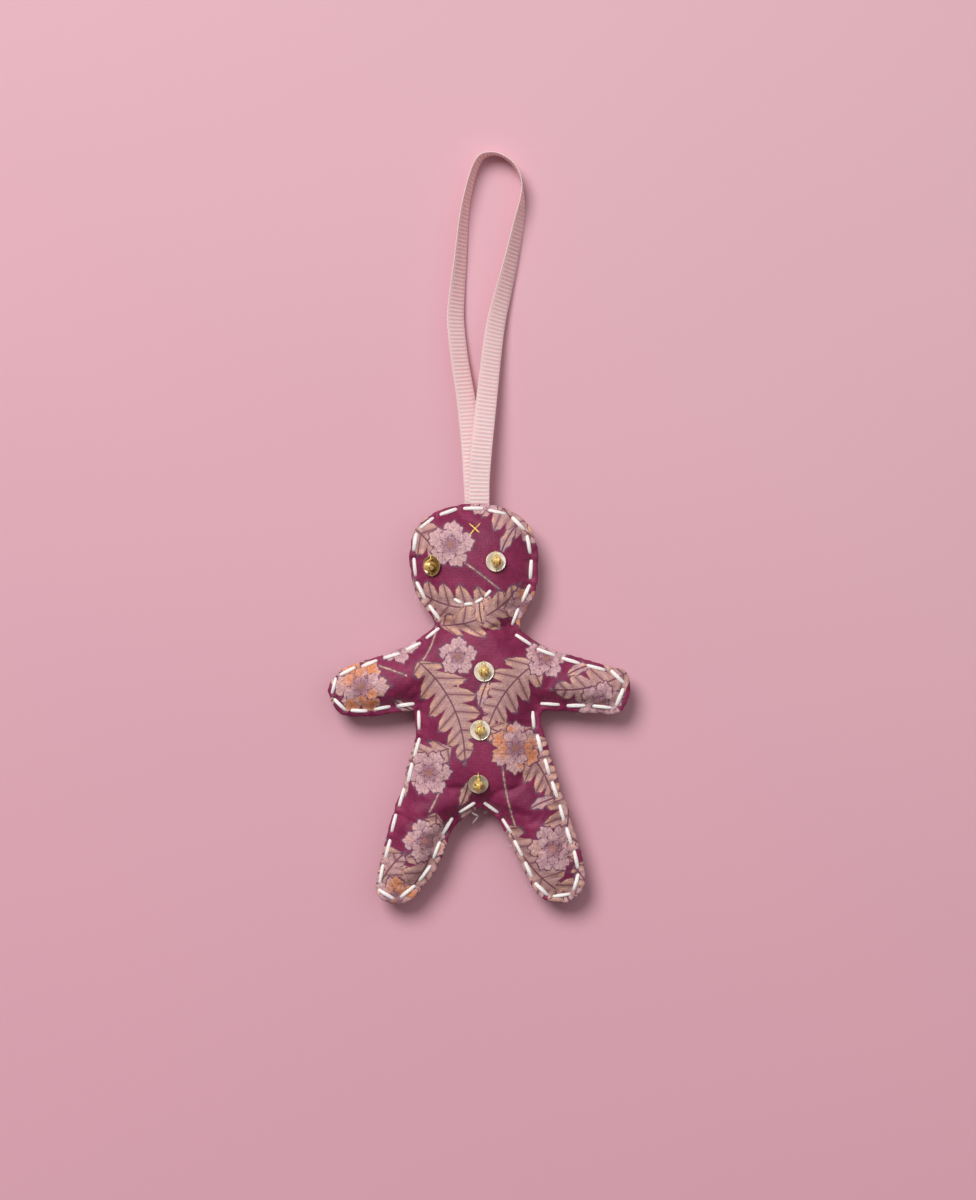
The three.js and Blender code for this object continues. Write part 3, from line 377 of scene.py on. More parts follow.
def printed_silk():
    """Plain-woven silk, block printed: a low sheen, soft washes of dye and a weave that shows in the ground.

    The real threads lie about 0.1 mm apart. They are drawn at 0.4 mm, because finer ones wouldn't show.
    """
    material, tree, place = new_material("printed_plain_weave_silk")
    # In millimetres: clouds in the ground's dye, the yarn's slubs, washes in the motifs, bled edges
    sizes = {"cloud": (9.09, 4.0), "grain": (0.526, 2.0), "wash": (3.03, 3.0), "bleed": (1.11, 2.0)}
    noise = {}
    for name, (size, detail) in sizes.items():
        values = {"Vector": place, "Scale": per_metre(size), "Detail": detail}
        noise[name] = add(tree, "ShaderNodeTexNoise", {}, values)
    names = [f"leaf_{key}" for key in LEAF_FIELDS] + [f"petal_{key}" for key in PETAL_FIELDS]
    field = {
        name: add(tree, "ShaderNodeAttribute", {"attribute_name": name}).outputs["Fac"] for name in names
    }
    colour = painted(tree, linear(0x771A43), [(noise["cloud"], 0.35, 0.65, 0x8B2850, 1.0)])
    for paint, edge in (leaf_paint(tree, field, noise), petal_paint(tree, field, noise)):
        # A motif's edge is soft over 0.28 mm
        limits = {"Value": edge, "From Min": 0.14, "From Max": -0.14}
        inside = add(tree, "ShaderNodeMapRange", SMOOTH, limits)
        colour = add(tree, "ShaderNodeMix", COLOURS, {0: inside, 1: colour, 2: paint})
    # At scale 1 a wave's period is a tenth of pi; these threads are drawn 0.42 mm apart
    scale = math.pi / 10 * per_metre(0.4245)
    waves = {"Vector": place, "Scale": scale, "Distortion": 3.0, "Detail": 2.0, "Detail Scale": 1.2}
    warp, weft = (add(tree, "ShaderNodeTexWave", {"bands_direction": way}, waves) for way in "XY")
    weave = add(tree, "ShaderNodeMath", ADD, {0: warp.outputs["Fac"], 1: weft.outputs["Fac"]})
    # Painted shade: the weave's raised threads are painted a little lighter than the hollows between them;
    # the slubs change the yarn's own tone
    weave_shade_and_slubs = add(tree, "ShaderNodeMath", MULTIPLY_ADD, {0: weave, 1: 0.018, 2: 0.5})
    weave_shade_and_slubs = add(tree, "ShaderNodeMath", ADD, {0: weave_shade_and_slubs, 1: noise["grain"]})
    tint = add(tree, "ShaderNodeCombineColor", {}, {0: weave_shade_and_slubs, 1: weave_shade_and_slubs, 2: weave_shade_and_slubs})
    colour = add(tree, "ShaderNodeMix", {**COLOURS, "blend_type": "MULTIPLY"}, {0: 1.0, 1: colour, 2: tint})
    height = add(tree, "ShaderNodeMath", MULTIPLY_ADD, {0: noise["grain"], 1: 1.6, 2: weave})
    soft = add(tree, "ShaderNodeBump", {}, {"Strength": 0.25, "Distance": 0.0009, "Height": noise["wash"]})
    fine = {"Strength": 0.28, "Distance": 0.0001, "Height": height, "Normal": soft}
    bump = add(tree, "ShaderNodeBump", {}, fine)
    values = {
        "Base Color": colour,
        "Normal": bump,
        "Roughness": 0.56,
        "Specular IOR Level": 0.35,
        "Sheen Weight": 0.14,
        "Sheen Roughness": 0.4,
        "Sheen Tint": linear(0xE3B4C8),
    }
    return finished(material, values)


def flecked(name, size, detail, dark, fleck, relief, values):
    """A material with flecks of a second tone, that many millimetres wide, which stand a little proud."""
    material, tree, place = new_material(name)
    pattern = {"Vector": place, "Scale": per_metre(size), "Detail": detail}
    flecks = add(tree, "ShaderNodeTexNoise", {}, pattern)
    colour = painted(tree, linear(dark), [(flecks, *fleck)])
    bump = add(tree, "ShaderNodeBump", {}, {**relief, "Height": flecks})
    return finished(material, {"Base Color": colour, "Normal": bump, **values})


def cotton_floss():
    """Mercerised cotton floss: soft white strands with a faint sheen, and painted shade that makes them a
    little greyer in their hollows.
    """
    # The fibres are too fine to show, and are drawn as flecks as coarse as they need to be. The flecks stand
    # proud and are painted lighter than the hollows between them, as painted shade.
    return flecked(
        "mercerised_cotton_floss",
        size=0.385,
        detail=3.0,
        dark=0xE4DAD6,
        fleck=(0.2, 0.55, 0xFAF6F2, 1.0),
        relief={"Strength": 0.3, "Distance": 0.00005},
        values={"Roughness": 0.7},
    )


def gold_thread():
    """Metallised polyester wound on a core: bright gold broken into short glints, which are painted
    highlights.
    """
    return flecked(
        "metallised_wound_thread",
        size=0.385,
        detail=3.0,
        dark=0xC9963C,
        # Painted highlights: the bright flecks stand in for glints of light on the metal
        fleck=(0.2, 0.55, 0xFBDD88, 1.0),
        relief={"Strength": 0.3, "Distance": 0.00005},
        values={"Roughness": 0.3, "Metallic": 0.4},
    )


def grosgrain():
    """Grosgrain of spun polyester: firm cross ribs 1.1 mm apart, matt, with a flat woven edge, and painted
    shade in the hollows between the ribs.
    """
    material, tree, place = new_material("polyester_grosgrain")
    # In millimetres: the spun yarn, and changes in the dye along the ribbon
    fine, broad = (
        add(tree, "ShaderNodeTexNoise", {}, {"Vector": place, "Scale": per_metre(size), "Detail": 2.0})
        for size in (0.385, 16.7)
    )
    along, across = (
        add(tree, "ShaderNodeAttribute", {"attribute_name": name}).outputs["Fac"]
        for name in ("along", "across")
    )
    turns = add(tree, "ShaderNodeMath", MULTIPLY, {0: along, 1: 2 * math.pi * MM / RIB_SPACING})
    rib = add(tree, "ShaderNodeMath", {"operation": "SINE"}, {0: turns})
    side = add(tree, "ShaderNodeMath", ABSOLUTE, {0: across})
    layers = (
        # Painted shade: the ribs are painted lighter, and only the hollows between them keep the darker base
        # colour
        (rib, -0.98, -0.1, 0xF6D6D4, 1.0),
        (side, 0.8, 0.9, 0xEFCBCA, 1.0),
        (fine, 0.5, 0.8, 0xF0C6C4, 1.0),
        (broad, 0.4, 0.7, 0xF2D0D0, 0.3),
    )
    colour = painted(tree, linear(0xEBB3B2), layers)
    bump = add(tree, "ShaderNodeBump", {}, {"Strength": 0.3, "Distance": 0.00005, "Height": fine})
    values = {
        "Base Color": colour,
        "Normal": bump,
        "Roughness": 0.62,
        "Specular IOR Level": 0.3,
        "Subsurface Weight": 0.3,
        "Subsurface Radius": (0.004, 0.0022, 0.002),
        "Subsurface Scale": 1.0,
    }
    return finished(material, values)


def sequin_film():
    """Metallised film with a pearl coat: white to amber, partly its own tint and partly a painted reflection;
    painted gold about its hole, a painted reflection of the bead, and painted darker at its cut edge, a
    painted reflection of the dim room.
    """
    material, tree, place = new_material("pearl_coated_metallised_film")
    radius, amber_and_reflection = (
        add(tree, "ShaderNodeAttribute", {"attribute_name": name}).outputs["Fac"]
        for name in ("radius", "amber_and_reflection")
    )
    drift = add(tree, "ShaderNodeTexNoise", {}, {"Vector": place, "Scale": per_metre(2.0), "Detail": 1.0})
    layers = (
        (drift, 0.4, 0.6, 0xECE6DA, 1.0),
        # Painted reflection: the amber cast stands partly for the dim room mirrored in the film
        (amber_and_reflection, 0.0, 1.0, 0x8A6A3A, 1.0),
        # Painted reflection of the gold bead, about the hole
        (radius, 1.2, 0.7, 0xE3BE70, 1.0),
        # Painted reflection of the dim room: the cut edge painted darker
        (radius, 2.66, 2.8, 0xB7A680, 1.0),
    )
    colour = painted(tree, linear(0xFFFAF0), layers)
    values = {
        "Base Color": colour,
        "Metallic": 0.2,
        "Roughness": 0.22,
        "Coat Weight": 0.6,
        "Coat Roughness": 0.08,
    }
    return finished(material, values)


def foil_lined_glass():
    """Amber glass with a foil-lined bore: deep gold, with bright flecks painted where the foil would catch
    the light, as painted highlights.
    """
    return flecked(
        "foil_lined_amber_glass",
        size=0.91,
        detail=2.0,
        dark=0xAF7722,
        # Painted highlights: the bright flecks stand in for the foil's glints
        fleck=(0.4, 0.54, 0xFFE38A, 1.0),
        relief={"Strength": 0.5, "Distance": 0.0001},
        values={"Metallic": 0.35, "Roughness": 0.22, "Coat Weight": 1.0},
    )


def wadding():
    """Carded polyester wadding: matt white with soft clumps."""
    return flecked(
        "carded_polyester_wadding",
        size=1.43,
        detail=5.0,
        dark=0xE2DED4,
        fleck=(0.3, 0.7, 0xF6F3EC, 1.0),
        relief={"Strength": 0.6, "Distance": 0.0006},
        values={"Roughness": 0.95},
    )


def pink_paper(sizes):
    """Uncoated pink card: matt, with a fine tooth, and painted a little lighter towards the lamp as painted
    light.
    """
    material, tree, place = new_material("uncoated_pink_card")
    # The real tooth is finer, and is drawn as coarse as it needs to show
    tooth = add(tree, "ShaderNodeTexNoise", {}, {"Vector": place, "Scale": per_metre(0.833), "Detail": 3.0})
    parts = add(tree, "ShaderNodeSeparateXYZ", {}, {0: place})
    # Painted light: the card runs from the near colour at the feet to a lighter far colour towards the lamp
    painted_light_slope = add(tree, "ShaderNodeMath", MULTIPLY_ADD, {0: parts.outputs[0], 1: 0.35, 2: parts.outputs[1]})
    limits = {"Value": painted_light_slope, "From Min": -0.16, "From Max": 0.22}
    rise = add(tree, "ShaderNodeMapRange", SMOOTH, limits)
    near, far = ((*colour, 1.0) for colour in (sizes.floor_near, sizes.floor_far))
    colour = add(tree, "ShaderNodeMix", COLOURS, {0: rise, 1: near, 2: far})
    bump = add(tree, "ShaderNodeBump", {}, {"Strength": 0.12, "Distance": 0.0002, "Height": tooth})
    values = {"Base Color": colour, "Normal": bump, "Roughness": 0.95, "Specular IOR Level": 0.1}
    return finished(material, values)


def write_values(mesh, table):
    """Adds attributes to a mesh, each with one value a point."""
    for key, values in table.items():
        mesh.attributes.new(key, "FLOAT", "POINT").data.foreach_set("value", np.asarray(values, np.float32))


def write_points(thing, points):
    """Moves an object's points to places in millimetres."""
    thing.data.vertices.foreach_set("co", (points * MM).ravel())
    thing.data.update()


def linked(name, data):
    """An object of that data, in the scene."""
    thing = bpy.data.objects.new(name, data)
    bpy.context.scene.collection.objects.link(thing)
    return thing


def new_object(name, points, faces, material, attributes=None):
    """A mesh object at the origin. Points are in millimetres; attributes are one value a point."""
    mesh = bpy.data.meshes.new(name)
    mesh.from_pydata((np.asarray(points, float) * MM).tolist(), [], faces)
    write_values(mesh, attributes or {})
    mesh.shade_smooth()
    mesh.materials.append(material)
    mesh.update()
    return linked(name, mesh)


def mesh_arrays(thing):
    """A mesh's points in millimetres and its triangles."""
    mesh = thing.data
    points = np.empty(len(mesh.vertices) * 3)
    mesh.vertices.foreach_get("co", points)
    mesh.calc_loop_triangles()
    triangles = np.empty(len(mesh.loop_triangles) * 3, int)
    mesh.loop_triangles.foreach_get("vertices", triangles)
    return points.reshape(-1, 3) / MM, triangles.reshape(-1, 3)


def ray_tree(*things):
    """Several meshes as one tree for rays, in millimetres, and their points."""
    points, triangles = zip(*(mesh_arrays(thing) for thing in things))
    firsts = np.cumsum([0, *(len(each) for each in points[:-1])])
    points = np.concatenate(points)
    triangles = np.concatenate([each + first for each, first in zip(triangles, firsts)])
    return BVHTree.FromPolygons(points.tolist(), triangles.tolist()), points


def merged_node(name):
    """A CAD node's points in millimetres, doubles merged, and its triangles."""
    points, triangles = mesh_arrays(NODES[name])
    places, index = np.unique(np.round(points, 3), axis=0, return_inverse=True)
    return places, index.reshape(-1)[triangles]


def plan_centre(node):
    """The middle of a CAD node's box in plan, in millimetres."""
    low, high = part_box(node)
    return np.array((low + high) / 2)[:2] / MM


def unit(rows):
    """Vectors in rows, each with a length of 1."""
    return rows / np.maximum(np.linalg.norm(rows, axis=1, keepdims=True), 1e-9)


def travelled(points):
    """The length of a path up to each of its points."""
    return np.concatenate([[0], np.cumsum(np.linalg.norm(np.diff(points, axis=0), axis=1))])


def stitch_runs(node, keep):
    """The straight runs of a thread's tube whose corners pass the test, each as its two ends."""
    points, triangles = merged_node(node)
    sides = [triangles[:, [0, 1]], triangles[:, [1, 2]], triangles[:, [2, 0]]]
    edges = np.unique(np.sort(np.concatenate(sides), axis=1), axis=0)
    kept = keep(points)
    group = np.arange(len(points))
    edges = edges[kept[edges].all(axis=1)]
    # Enough rounds for the lowest number to reach every point of a run
    for _ in range(40):
        low = np.minimum(group[edges[:, 0]], group[edges[:, 1]])
        np.minimum.at(group, edges[:, 0], low)
        np.minimum.at(group, edges[:, 1], low)
    runs = []
    for root in np.unique(group[kept]):
        members = points[(group == root) & kept]
        # Fewer corners than a tube's two ends have make no run
        if len(members) < 8:
            continue
        middle = members.mean(axis=0)
        _, _, axes = np.linalg.svd(members[:, :2] - middle[:2])
        side = (members[:, :2] - middle[:2]) @ axes[0]
        runs.append((members[side < 0].mean(axis=0), members[side >= 0].mean(axis=0)))
    return runs


def chained(runs):
    """Runs put in order round the seam, each turned to follow the one before it."""
    left = list(runs)
    order = [left.pop(0)]
    while left:
        tip = order[-1][1][:2]
        gaps = [min(np.hypot(*(a[:2] - tip)), np.hypot(*(b[:2] - tip))) for a, b in left]
        a, b = left.pop(int(np.argmin(gaps)))
        order.append((a, b) if np.hypot(*(a[:2] - tip)) <= np.hypot(*(b[:2] - tip)) else (b, a))
    x, y = np.array([(a[:2] + b[:2]) / 2 for a, b in order]).T
    if (x * np.roll(y, -1) - np.roll(x, -1) * y).sum() < 0:
        order = [(b, a) for a, b in reversed(order)]
    return order


def drawn_in(runs, amount):
    """Stitches moved towards the inside of a seam that runs counter-clockwise."""
    moved = []
    for a, b in runs:
        way = (b - a)[:2] / np.hypot(*(b - a)[:2])
        inward = np.array([-way[1], way[0], 0]) * amount
        moved.append((a + inward, b + inward))
    return moved


def near_segments(places, starts, ends):
    """Distance of each place from its nearest segment, in plan."""
    best = np.full(len(places), np.inf)
    for a, b in zip(starts, ends):
        way = b - a
        share = np.clip(((places - a) @ way) / max(way @ way, 1e-9), 0, 1)
        best = np.minimum(best, np.hypot(*(places - a - share[:, None] * way).T))
    return best


def height_maps(pitch):
    """Heights of the CAD panels' front and back on a grid, with the needle holes filled."""
    tree, points = ray_tree(NODES["front_panel"], NODES["back_panel"])
    low, high = points.min(axis=0) - 2 * pitch, points.max(axis=0) + 2 * pitch
    xs, ys = np.arange(low[0], high[0], pitch), np.arange(low[1], high[1], pitch)
    front = np.full((len(xs), len(ys)), np.nan)
    back = front.copy()
    down, up = Vector((0, 0, -1)), Vector((0, 0, 1))
    for i, x in enumerate(xs):
        for k, y in enumerate(ys):
            hit = tree.ray_cast((x, y, 50), down)[0]
            if hit is None:
                continue
            front[i, k] = hit.z
            back[i, k] = tree.ray_cast((x, y, -50), up)[0].z
    # What the rays miss is outside where it joins the border, and a needle hole elsewhere
    outside = np.zeros(front.shape, bool)
    outside[[0, -1]] = outside[:, [0, -1]] = True
    missed = np.isnan(front)
    while (grown := missed & ~outside & np.any(neighbours(outside), axis=0)).any():
        outside |= grown
    inside = ~outside
    front[inside & ~(front > SEAM_Z + RIM_HALF - 0.1)] = np.nan
    back[inside & ~(back < SEAM_Z - RIM_HALF + 0.1)] = np.nan
    # The holes' rims are smoothed over about 1.1 mm
    rounds = round(1.1 / pitch)
    return xs, ys, inside, [blurred(filled(each, inside), inside, rounds) for each in (front, back)]


def neighbours(field):
    """The four neighbours of a field's values."""
    padded = np.pad(field, 1, mode="edge")
    return [padded[2:, 1:-1], padded[:-2, 1:-1], padded[1:-1, 2:], padded[1:-1, :-2]]


def filled(field, inside):
    """A field whose missing values inside take their neighbours' mean."""
    field = np.where(inside, field, np.nan)
    while (gaps := inside & np.isnan(field)).any():
        around = np.stack(neighbours(field))
        known = ~np.isnan(around)
        count = known.sum(axis=0)
        mean = np.where(known, around, 0).sum(axis=0) / np.maximum(count, 1)
        field = np.where(gaps & (count > 0), mean, field)
    return field


def blurred(field, inside, rounds):
    """A field smoothed inside the outline only."""
    value = np.where(inside, field, 0.0)
    weight = inside.astype(float)
    for _ in range(rounds * 4):
        value = (value + sum(neighbours(value))) / 5
        weight = (weight + sum(neighbours(weight))) / 5
        value, weight = np.where(inside, value, 0), np.where(inside, weight, 0)
    return np.where(inside, value / np.maximum(weight, 1e-9), np.nan)


def skin_from_maps(xs, ys, inside, heights):
    """A closed mesh over the maps: front, back and a wall between them at the outline."""
    front, back = heights
    solid = inside[:-1, :-1] & inside[1:, :-1] & inside[1:, 1:] & inside[:-1, 1:]
    used = np.zeros(inside.shape, bool)
    for di in (0, 1):
        for dk in (0, 1):
            used[di : di + solid.shape[0], dk : dk + solid.shape[1]] |= solid
    number = np.cumsum(used).reshape(used.shape) - 1
    count = int(used.sum())
    i, k = np.nonzero(used)
    top = np.stack([xs[i], ys[k], front[i, k]], axis=1)
    bottom = np.stack([xs[i], ys[k], back[i, k]], axis=1)
    a, b = np.nonzero(solid)
    quads = np.stack([number[a, b], number[a + 1, b], number[a + 1, b + 1], number[a, b + 1]], axis=1)
    faces = quads.tolist() + (quads[:, ::-1] + count).tolist()
    open_cell = np.pad(solid, 1)
    walls = (
        ((0, 0), (1, 0), open_cell[1:-1, :-2]),
        ((1, 0), (1, 1), open_cell[2:, 1:-1]),
        ((1, 1), (0, 1), open_cell[1:-1, 2:]),
        ((0, 1), (0, 0), open_cell[:-2, 1:-1]),
    )
    for (si, sk), (ei, ek), beside in walls:
        for ci, ck in zip(*np.nonzero(solid & ~beside)):
            start, end = int(number[ci + si, ck + sk]), int(number[ci + ei, ck + ek])
            faces.append([end, start, start + count, end + count])
    return np.concatenate([top, bottom]), faces


def remeshed(thing, voxel):
    """Voxel remesh applied to an object."""
    modifier = thing.modifiers.new("Even mesh", "REMESH")
    modifier.mode = "VOXEL"
    modifier.voxel_size = voxel
    modifier.use_smooth_shade = True
    apply_modifiers(thing)


def apply_modifiers(thing):
    """Replaces an object's mesh by its evaluated mesh and removes its modifiers."""
    seen = bpy.context.evaluated_depsgraph_get()
    final = thing.evaluated_get(seen)
    mesh = bpy.data.meshes.new_from_object(final, preserve_all_data_layers=True, depsgraph=seen)
    old = thing.data
    thing.modifiers.clear()
    thing.data = mesh
    bpy.data.meshes.remove(old)


def edge_array(mesh):
    """The two points of each edge."""
    edges = np.empty(len(mesh.edges) * 2, int)
    mesh.edges.foreach_get("vertices", edges)
    return edges.reshape(-1, 2)


def relaxed(points, edges, rounds, amount):
    """Points moved towards the mean of their neighbours."""
    count = np.bincount(edges.ravel(), minlength=len(points))[:, None]
    for _ in range(rounds):
        total = np.zeros_like(points)
        np.add.at(total, edges[:, 0], points[edges[:, 1]])
        np.add.at(total, edges[:, 1], points[edges[:, 0]])
        points = points + amount * (total / np.maximum(count, 1) - points)
    return points


def normals_of(mesh):
    """The normal at each point."""
    normals = np.empty(len(mesh.vertices) * 3)
    mesh.vertices.foreach_get("normal", normals)
    return normals.reshape(-1, 3)


def puffed(thing, held, limit, frames):
    """The points after a cloth simulation, in which the stuffing swells the cloth between the stitches."""
    rest = mesh_arrays(thing)[0]
    group = thing.vertex_groups.new(name="sewn")
    for weight in np.unique(np.round(held, 1)):
        if weight > 0:
            group.add(np.nonzero(np.abs(held - weight) < 0.05)[0].tolist(), float(weight), "REPLACE")
    cloth = thing.modifiers.new("Cloth", "CLOTH")
    settings = cloth.settings
    settings.quality = 6
    settings.mass = 0.25
    settings.tension_stiffness = settings.compression_stiffness = 12
    settings.shear_stiffness = 6
    settings.bending_stiffness = 0.25
    settings.use_pressure = True
    settings.uniform_pressure_force = 4
    settings.vertex_group_mass = "sewn"
    settings.effector_weights.gravity = 0
    settings.shrink_min = -0.035
    cloth.collision_settings.use_collision = False
    cloth.point_cache.frame_start, cloth.point_cache.frame_end = 1, frames
    for number in range(1, frames + 1):
        bpy.context.scene.frame_set(number)
    apply_modifiers(thing)
    bpy.context.scene.frame_set(1)
    moved = mesh_arrays(thing)[0] - rest
    far = np.linalg.norm(moved, axis=1, keepdims=True)
    return rest + moved * np.minimum(1, limit / np.maximum(far, 1e-9))


def hollow(distance, depth, reach):
    """The depth of a soft hollow at each distance from its middle."""
    return depth * np.exp(-((distance / reach) ** 2))


def put_over(target, distance, values):
    """Lays a motif over those already there, with the ground kept where nothing lies."""
    closer = (distance < np.where(target["edge"] < 0, -0.1, 0.2)) | (distance < target["edge"])
    target["edge"][closer] = distance[closer]
    for key, value in values.items():
        target[key][closer] = value[closer] if isinstance(value, np.ndarray) else value


def leaf_place(x, y, at, angle, length, bend):
    """A place by a leaf's bent rib: its share of the length, then millimetres aside and past either end."""
    c, s = math.cos(math.radians(angle)), math.sin(math.radians(angle))
    u = ((x - at[0]) * c + (y - at[1]) * s) / length
    v = (y - at[1]) * c - (x - at[0]) * s - 4 * bend * length * u * (1 - u)
    return u, v, np.maximum(np.maximum(-u, u - 1), 0) * length


def motif_fields(x, y):
    """The print at each place: signed distances in millimetres to its leaves and petals, and their veins."""
    count = len(x)
    leaf = {key: np.full(count, value) for key, value in LEAF_FIELDS.items()}
    petal = {key: np.full(count, value) for key, value in PETAL_FIELDS.items()}
    # Stems 1.1 mm wide with square ends
    for ax, ay, bx, by, swing in STEMS:
        length, angle = math.hypot(bx - ax, by - ay), math.degrees(math.atan2(by - ay, bx - ax))
        _, v, beyond = leaf_place(x, y, (ax, ay), angle, length, swing / length / 4)
        distance = np.abs(v) + beyond * 3 - 0.55
        put_over(leaf, distance, {"across": 9.0, "phase": 0.25, "tone": 0.2})
    # Lobes swept towards the tip, each with three teeth; distances are scaled down where edges run aslant
    for px, py, angle, length, width, lobes, bend, tone in BIG_LEAVES:
        u, v, beyond = leaf_place(x, y, (px, py), angle, length, bend)
        inner = np.clip(u, 0, 1)
        envelope = width / 2 * np.sin(math.pi * inner**0.8) ** 0.75 + 0.25
        lean = inner * lobes - np.abs(v) / width * 1.5 + 0.35
        share = lean % 1.0
        lobe = np.sin(math.pi * np.clip(share * 1.12 - 0.06, 0, 1)) ** 0.6
        tooth = np.abs(((lean * 3) % 1.0) - 0.5) * 0.16
        half = envelope * (0.46 + 0.5 * lobe - tooth)
        distance = (np.abs(v) - half) * 0.62 + beyond
        paler = np.clip(tone + 0.5 * (inner - 0.5), 0, 1)
        put_over(leaf, distance, {"across": v, "phase": lean, "tone": paler})
    # Plain leaves with slightly wavy sides
    for px, py, angle, length, width, tone in SMALL_LEAVES:
        u, v, beyond = leaf_place(x, y, (px, py), angle, length, 0.06)
        inner = np.clip(u, 0, 1)
        half = width / 2 * np.sin(math.pi * inner**0.8) * (1 + 0.1 * np.sin(inner * 22))
        distance = np.abs(v) - half + beyond
        put_over(leaf, distance * 0.85, {"across": v, "phase": 0.25, "tone": tone})
    # Three rings of ruffled petals, each ring turned by half a petal from the one outside it
    for px, py, turn, outer, petals, warmth in BLOSSOMS:
        dx, dy = x - px, y - py
        away = np.hypot(dx, dy)
        for ring, radius in enumerate((outer, outer * 0.7, outer * 0.4)):
            angle = np.arctan2(dy, dx) - math.radians(turn + ring * 180 / petals)
            wave = np.abs(np.cos(angle * petals / 2))
            ruffle = 0.045 * np.cos(angle * petals * 3 + 0.6 + ring) + 0.03 * np.cos(angle * petals * 5)
            distance = (away - radius * (0.68 + 0.32 * wave**0.6 + ruffle)) * 0.85
            turns = angle * petals / (2 * math.pi)
            between = (((turns + 1.0) % 1.0) - 0.5) * 2 * math.pi / petals * away
            values = {
                "line": between,
                "warmth": np.clip(warmth + 0.4 * np.sin(angle * 2 + px) - 0.15 * ring, 0, 1.1),
                "heart": away / outer,
            }
            put_over(petal, distance, values)
    return leaf, petal


class OrnamentStage(bpy.types.PropertyGroup):
    """Floor, lamp and camera."""

    floor_near: bpy.props.FloatVectorProperty(
        name="Floor, near",
        description="Colour of the card at the feet",
        default=linear(0xD9A3B1)[:3],
        subtype="COLOR",
    )
    floor_far: bpy.props.FloatVectorProperty(
        name="Floor, far",
        description="Colour of the card near the lamp",
        default=linear(0xDCAFB9)[:3],
        subtype="COLOR",
    )
    key_power: bpy.props.FloatProperty(
        name="Key lamp", description="Power of the soft main lamp", default=33.0, unit="POWER"
    )
    camera_rise: bpy.props.FloatProperty(
        name="Camera height", description="Height over the doll's seam", default=0.7933, unit="LENGTH"
    )


class OrnamentSizes(bpy.types.PropertyGroup):
    """Sizes of the cloth, thread and ribbon."""

    cloth: bpy.props.FloatProperty(
        name="Cloth", description="Thickness of the silk", default=0.0003, unit="LENGTH"
    )
    thread: bpy.props.FloatProperty(
        name="White thread", description="Width of a stitch", default=0.00108, unit="LENGTH"
    )
    strands: bpy.props.IntProperty(
        name="Strands", description="Strands in the white thread", default=6, min=3, max=8
    )
    ribbon_width: bpy.props.FloatProperty(
        name="Ribbon width", description="Width of the ribbon", default=0.006, unit="LENGTH"
    )
    ribbon_thickness: bpy.props.FloatProperty(
        name="Ribbon thickness", description="Thickness at its middle", default=0.00045, unit="LENGTH"
    )
    rib_spacing: bpy.props.FloatProperty(
        name="Rib spacing", description="Distance between two ribs", default=RIB_SPACING, unit="LENGTH"
    )
    rib_height: bpy.props.FloatProperty(
        name="Rib height", description="Height of a rib", default=0.00007, unit="LENGTH"
    )


def grown_tree(name, inputs):
    """A tree of geometry nodes with named inputs of those kinds, and what it is given."""
    tree = bpy.data.node_groups.new(name, "GeometryNodeTree")
    for key, kind in (("Geometry", "Geometry"), *inputs, ("Material", "Material")):
        tree.interface.new_socket(key, in_out="INPUT", socket_type=f"NodeSocket{kind}")
    tree.interface.new_socket("Geometry", in_out="OUTPUT", socket_type="NodeSocketGeometry")
    return tree, add(tree, "NodeGroupInput").outputs


def closed_tree(tree, given, shape):
    """The tree ended in real geometry with its material."""
    real = add(tree, "GeometryNodeRealizeInstances", {}, {0: shape})
    dressed = add(tree, "GeometryNodeSetMaterial", {}, {0: real, "Material": given["Material"]})
    add(tree, "NodeGroupOutput", {}, {0: dressed})
    return tree


def strands_tree():
    """Geometry nodes that turn lines into round strands of thread."""
    tree, given = grown_tree("Thread strands", [("Sides", "Int")])
    curve = add(tree, "GeometryNodeMeshToCurve", {}, {0: given["Geometry"]})
    width = add(tree, "GeometryNodeInputNamedAttribute", {"data_type": "FLOAT"}, {"Name": "half_width"})
    ring = add(tree, "GeometryNodeCurvePrimitiveCircle", {}, {"Resolution": given["Sides"], "Radius": 1.0})
    ends = {"Curve": curve, "Profile Curve": ring, "Scale": width, "Fill Caps": True}
    solid = add(tree, "GeometryNodeCurveToMesh", {}, ends)
    return closed_tree(tree, given, add(tree, "GeometryNodeSetShadeSmooth", {}, {0: solid}))


def ribs_tree():
    """Geometry nodes that raise the ribbon's cross ribs between its woven edges."""
    tree, given = grown_tree("Cross ribs", [("Rib spacing", "Float"), ("Rib height", "Float")])
    along, across = (
        add(tree, "GeometryNodeInputNamedAttribute", {"data_type": "FLOAT"}, {"Name": name})
        for name in ("along", "across")
    )
    turns = add(tree, "ShaderNodeMath", MULTIPLY, {0: along, 1: 2 * math.pi * MM})
    turns = add(tree, "ShaderNodeMath", {"operation": "DIVIDE"}, {0: turns, 1: given["Rib spacing"]})
    wave = add(tree, "ShaderNodeMath", {"operation": "SINE"}, {0: turns})
    side = add(tree, "ShaderNodeMath", ABSOLUTE, {0: across})
    inside = add(tree, "ShaderNodeMath", {"operation": "LESS_THAN"}, {0: side, 1: RIBBED_SHARE})
    rise = add(tree, "ShaderNodeMath", MULTIPLY, {0: wave, 1: inside})
    rise = add(tree, "ShaderNodeMath", MULTIPLY, {0: rise, 1: given["Rib height"]})
    normal = add(tree, "GeometryNodeInputNormal")
    offset = add(tree, "ShaderNodeVectorMath", {"operation": "SCALE"}, {0: normal, "Scale": rise})
    moved = add(tree, "GeometryNodeSetPosition", {}, {0: given["Geometry"], "Offset": offset})
    return closed_tree(tree, given, moved)


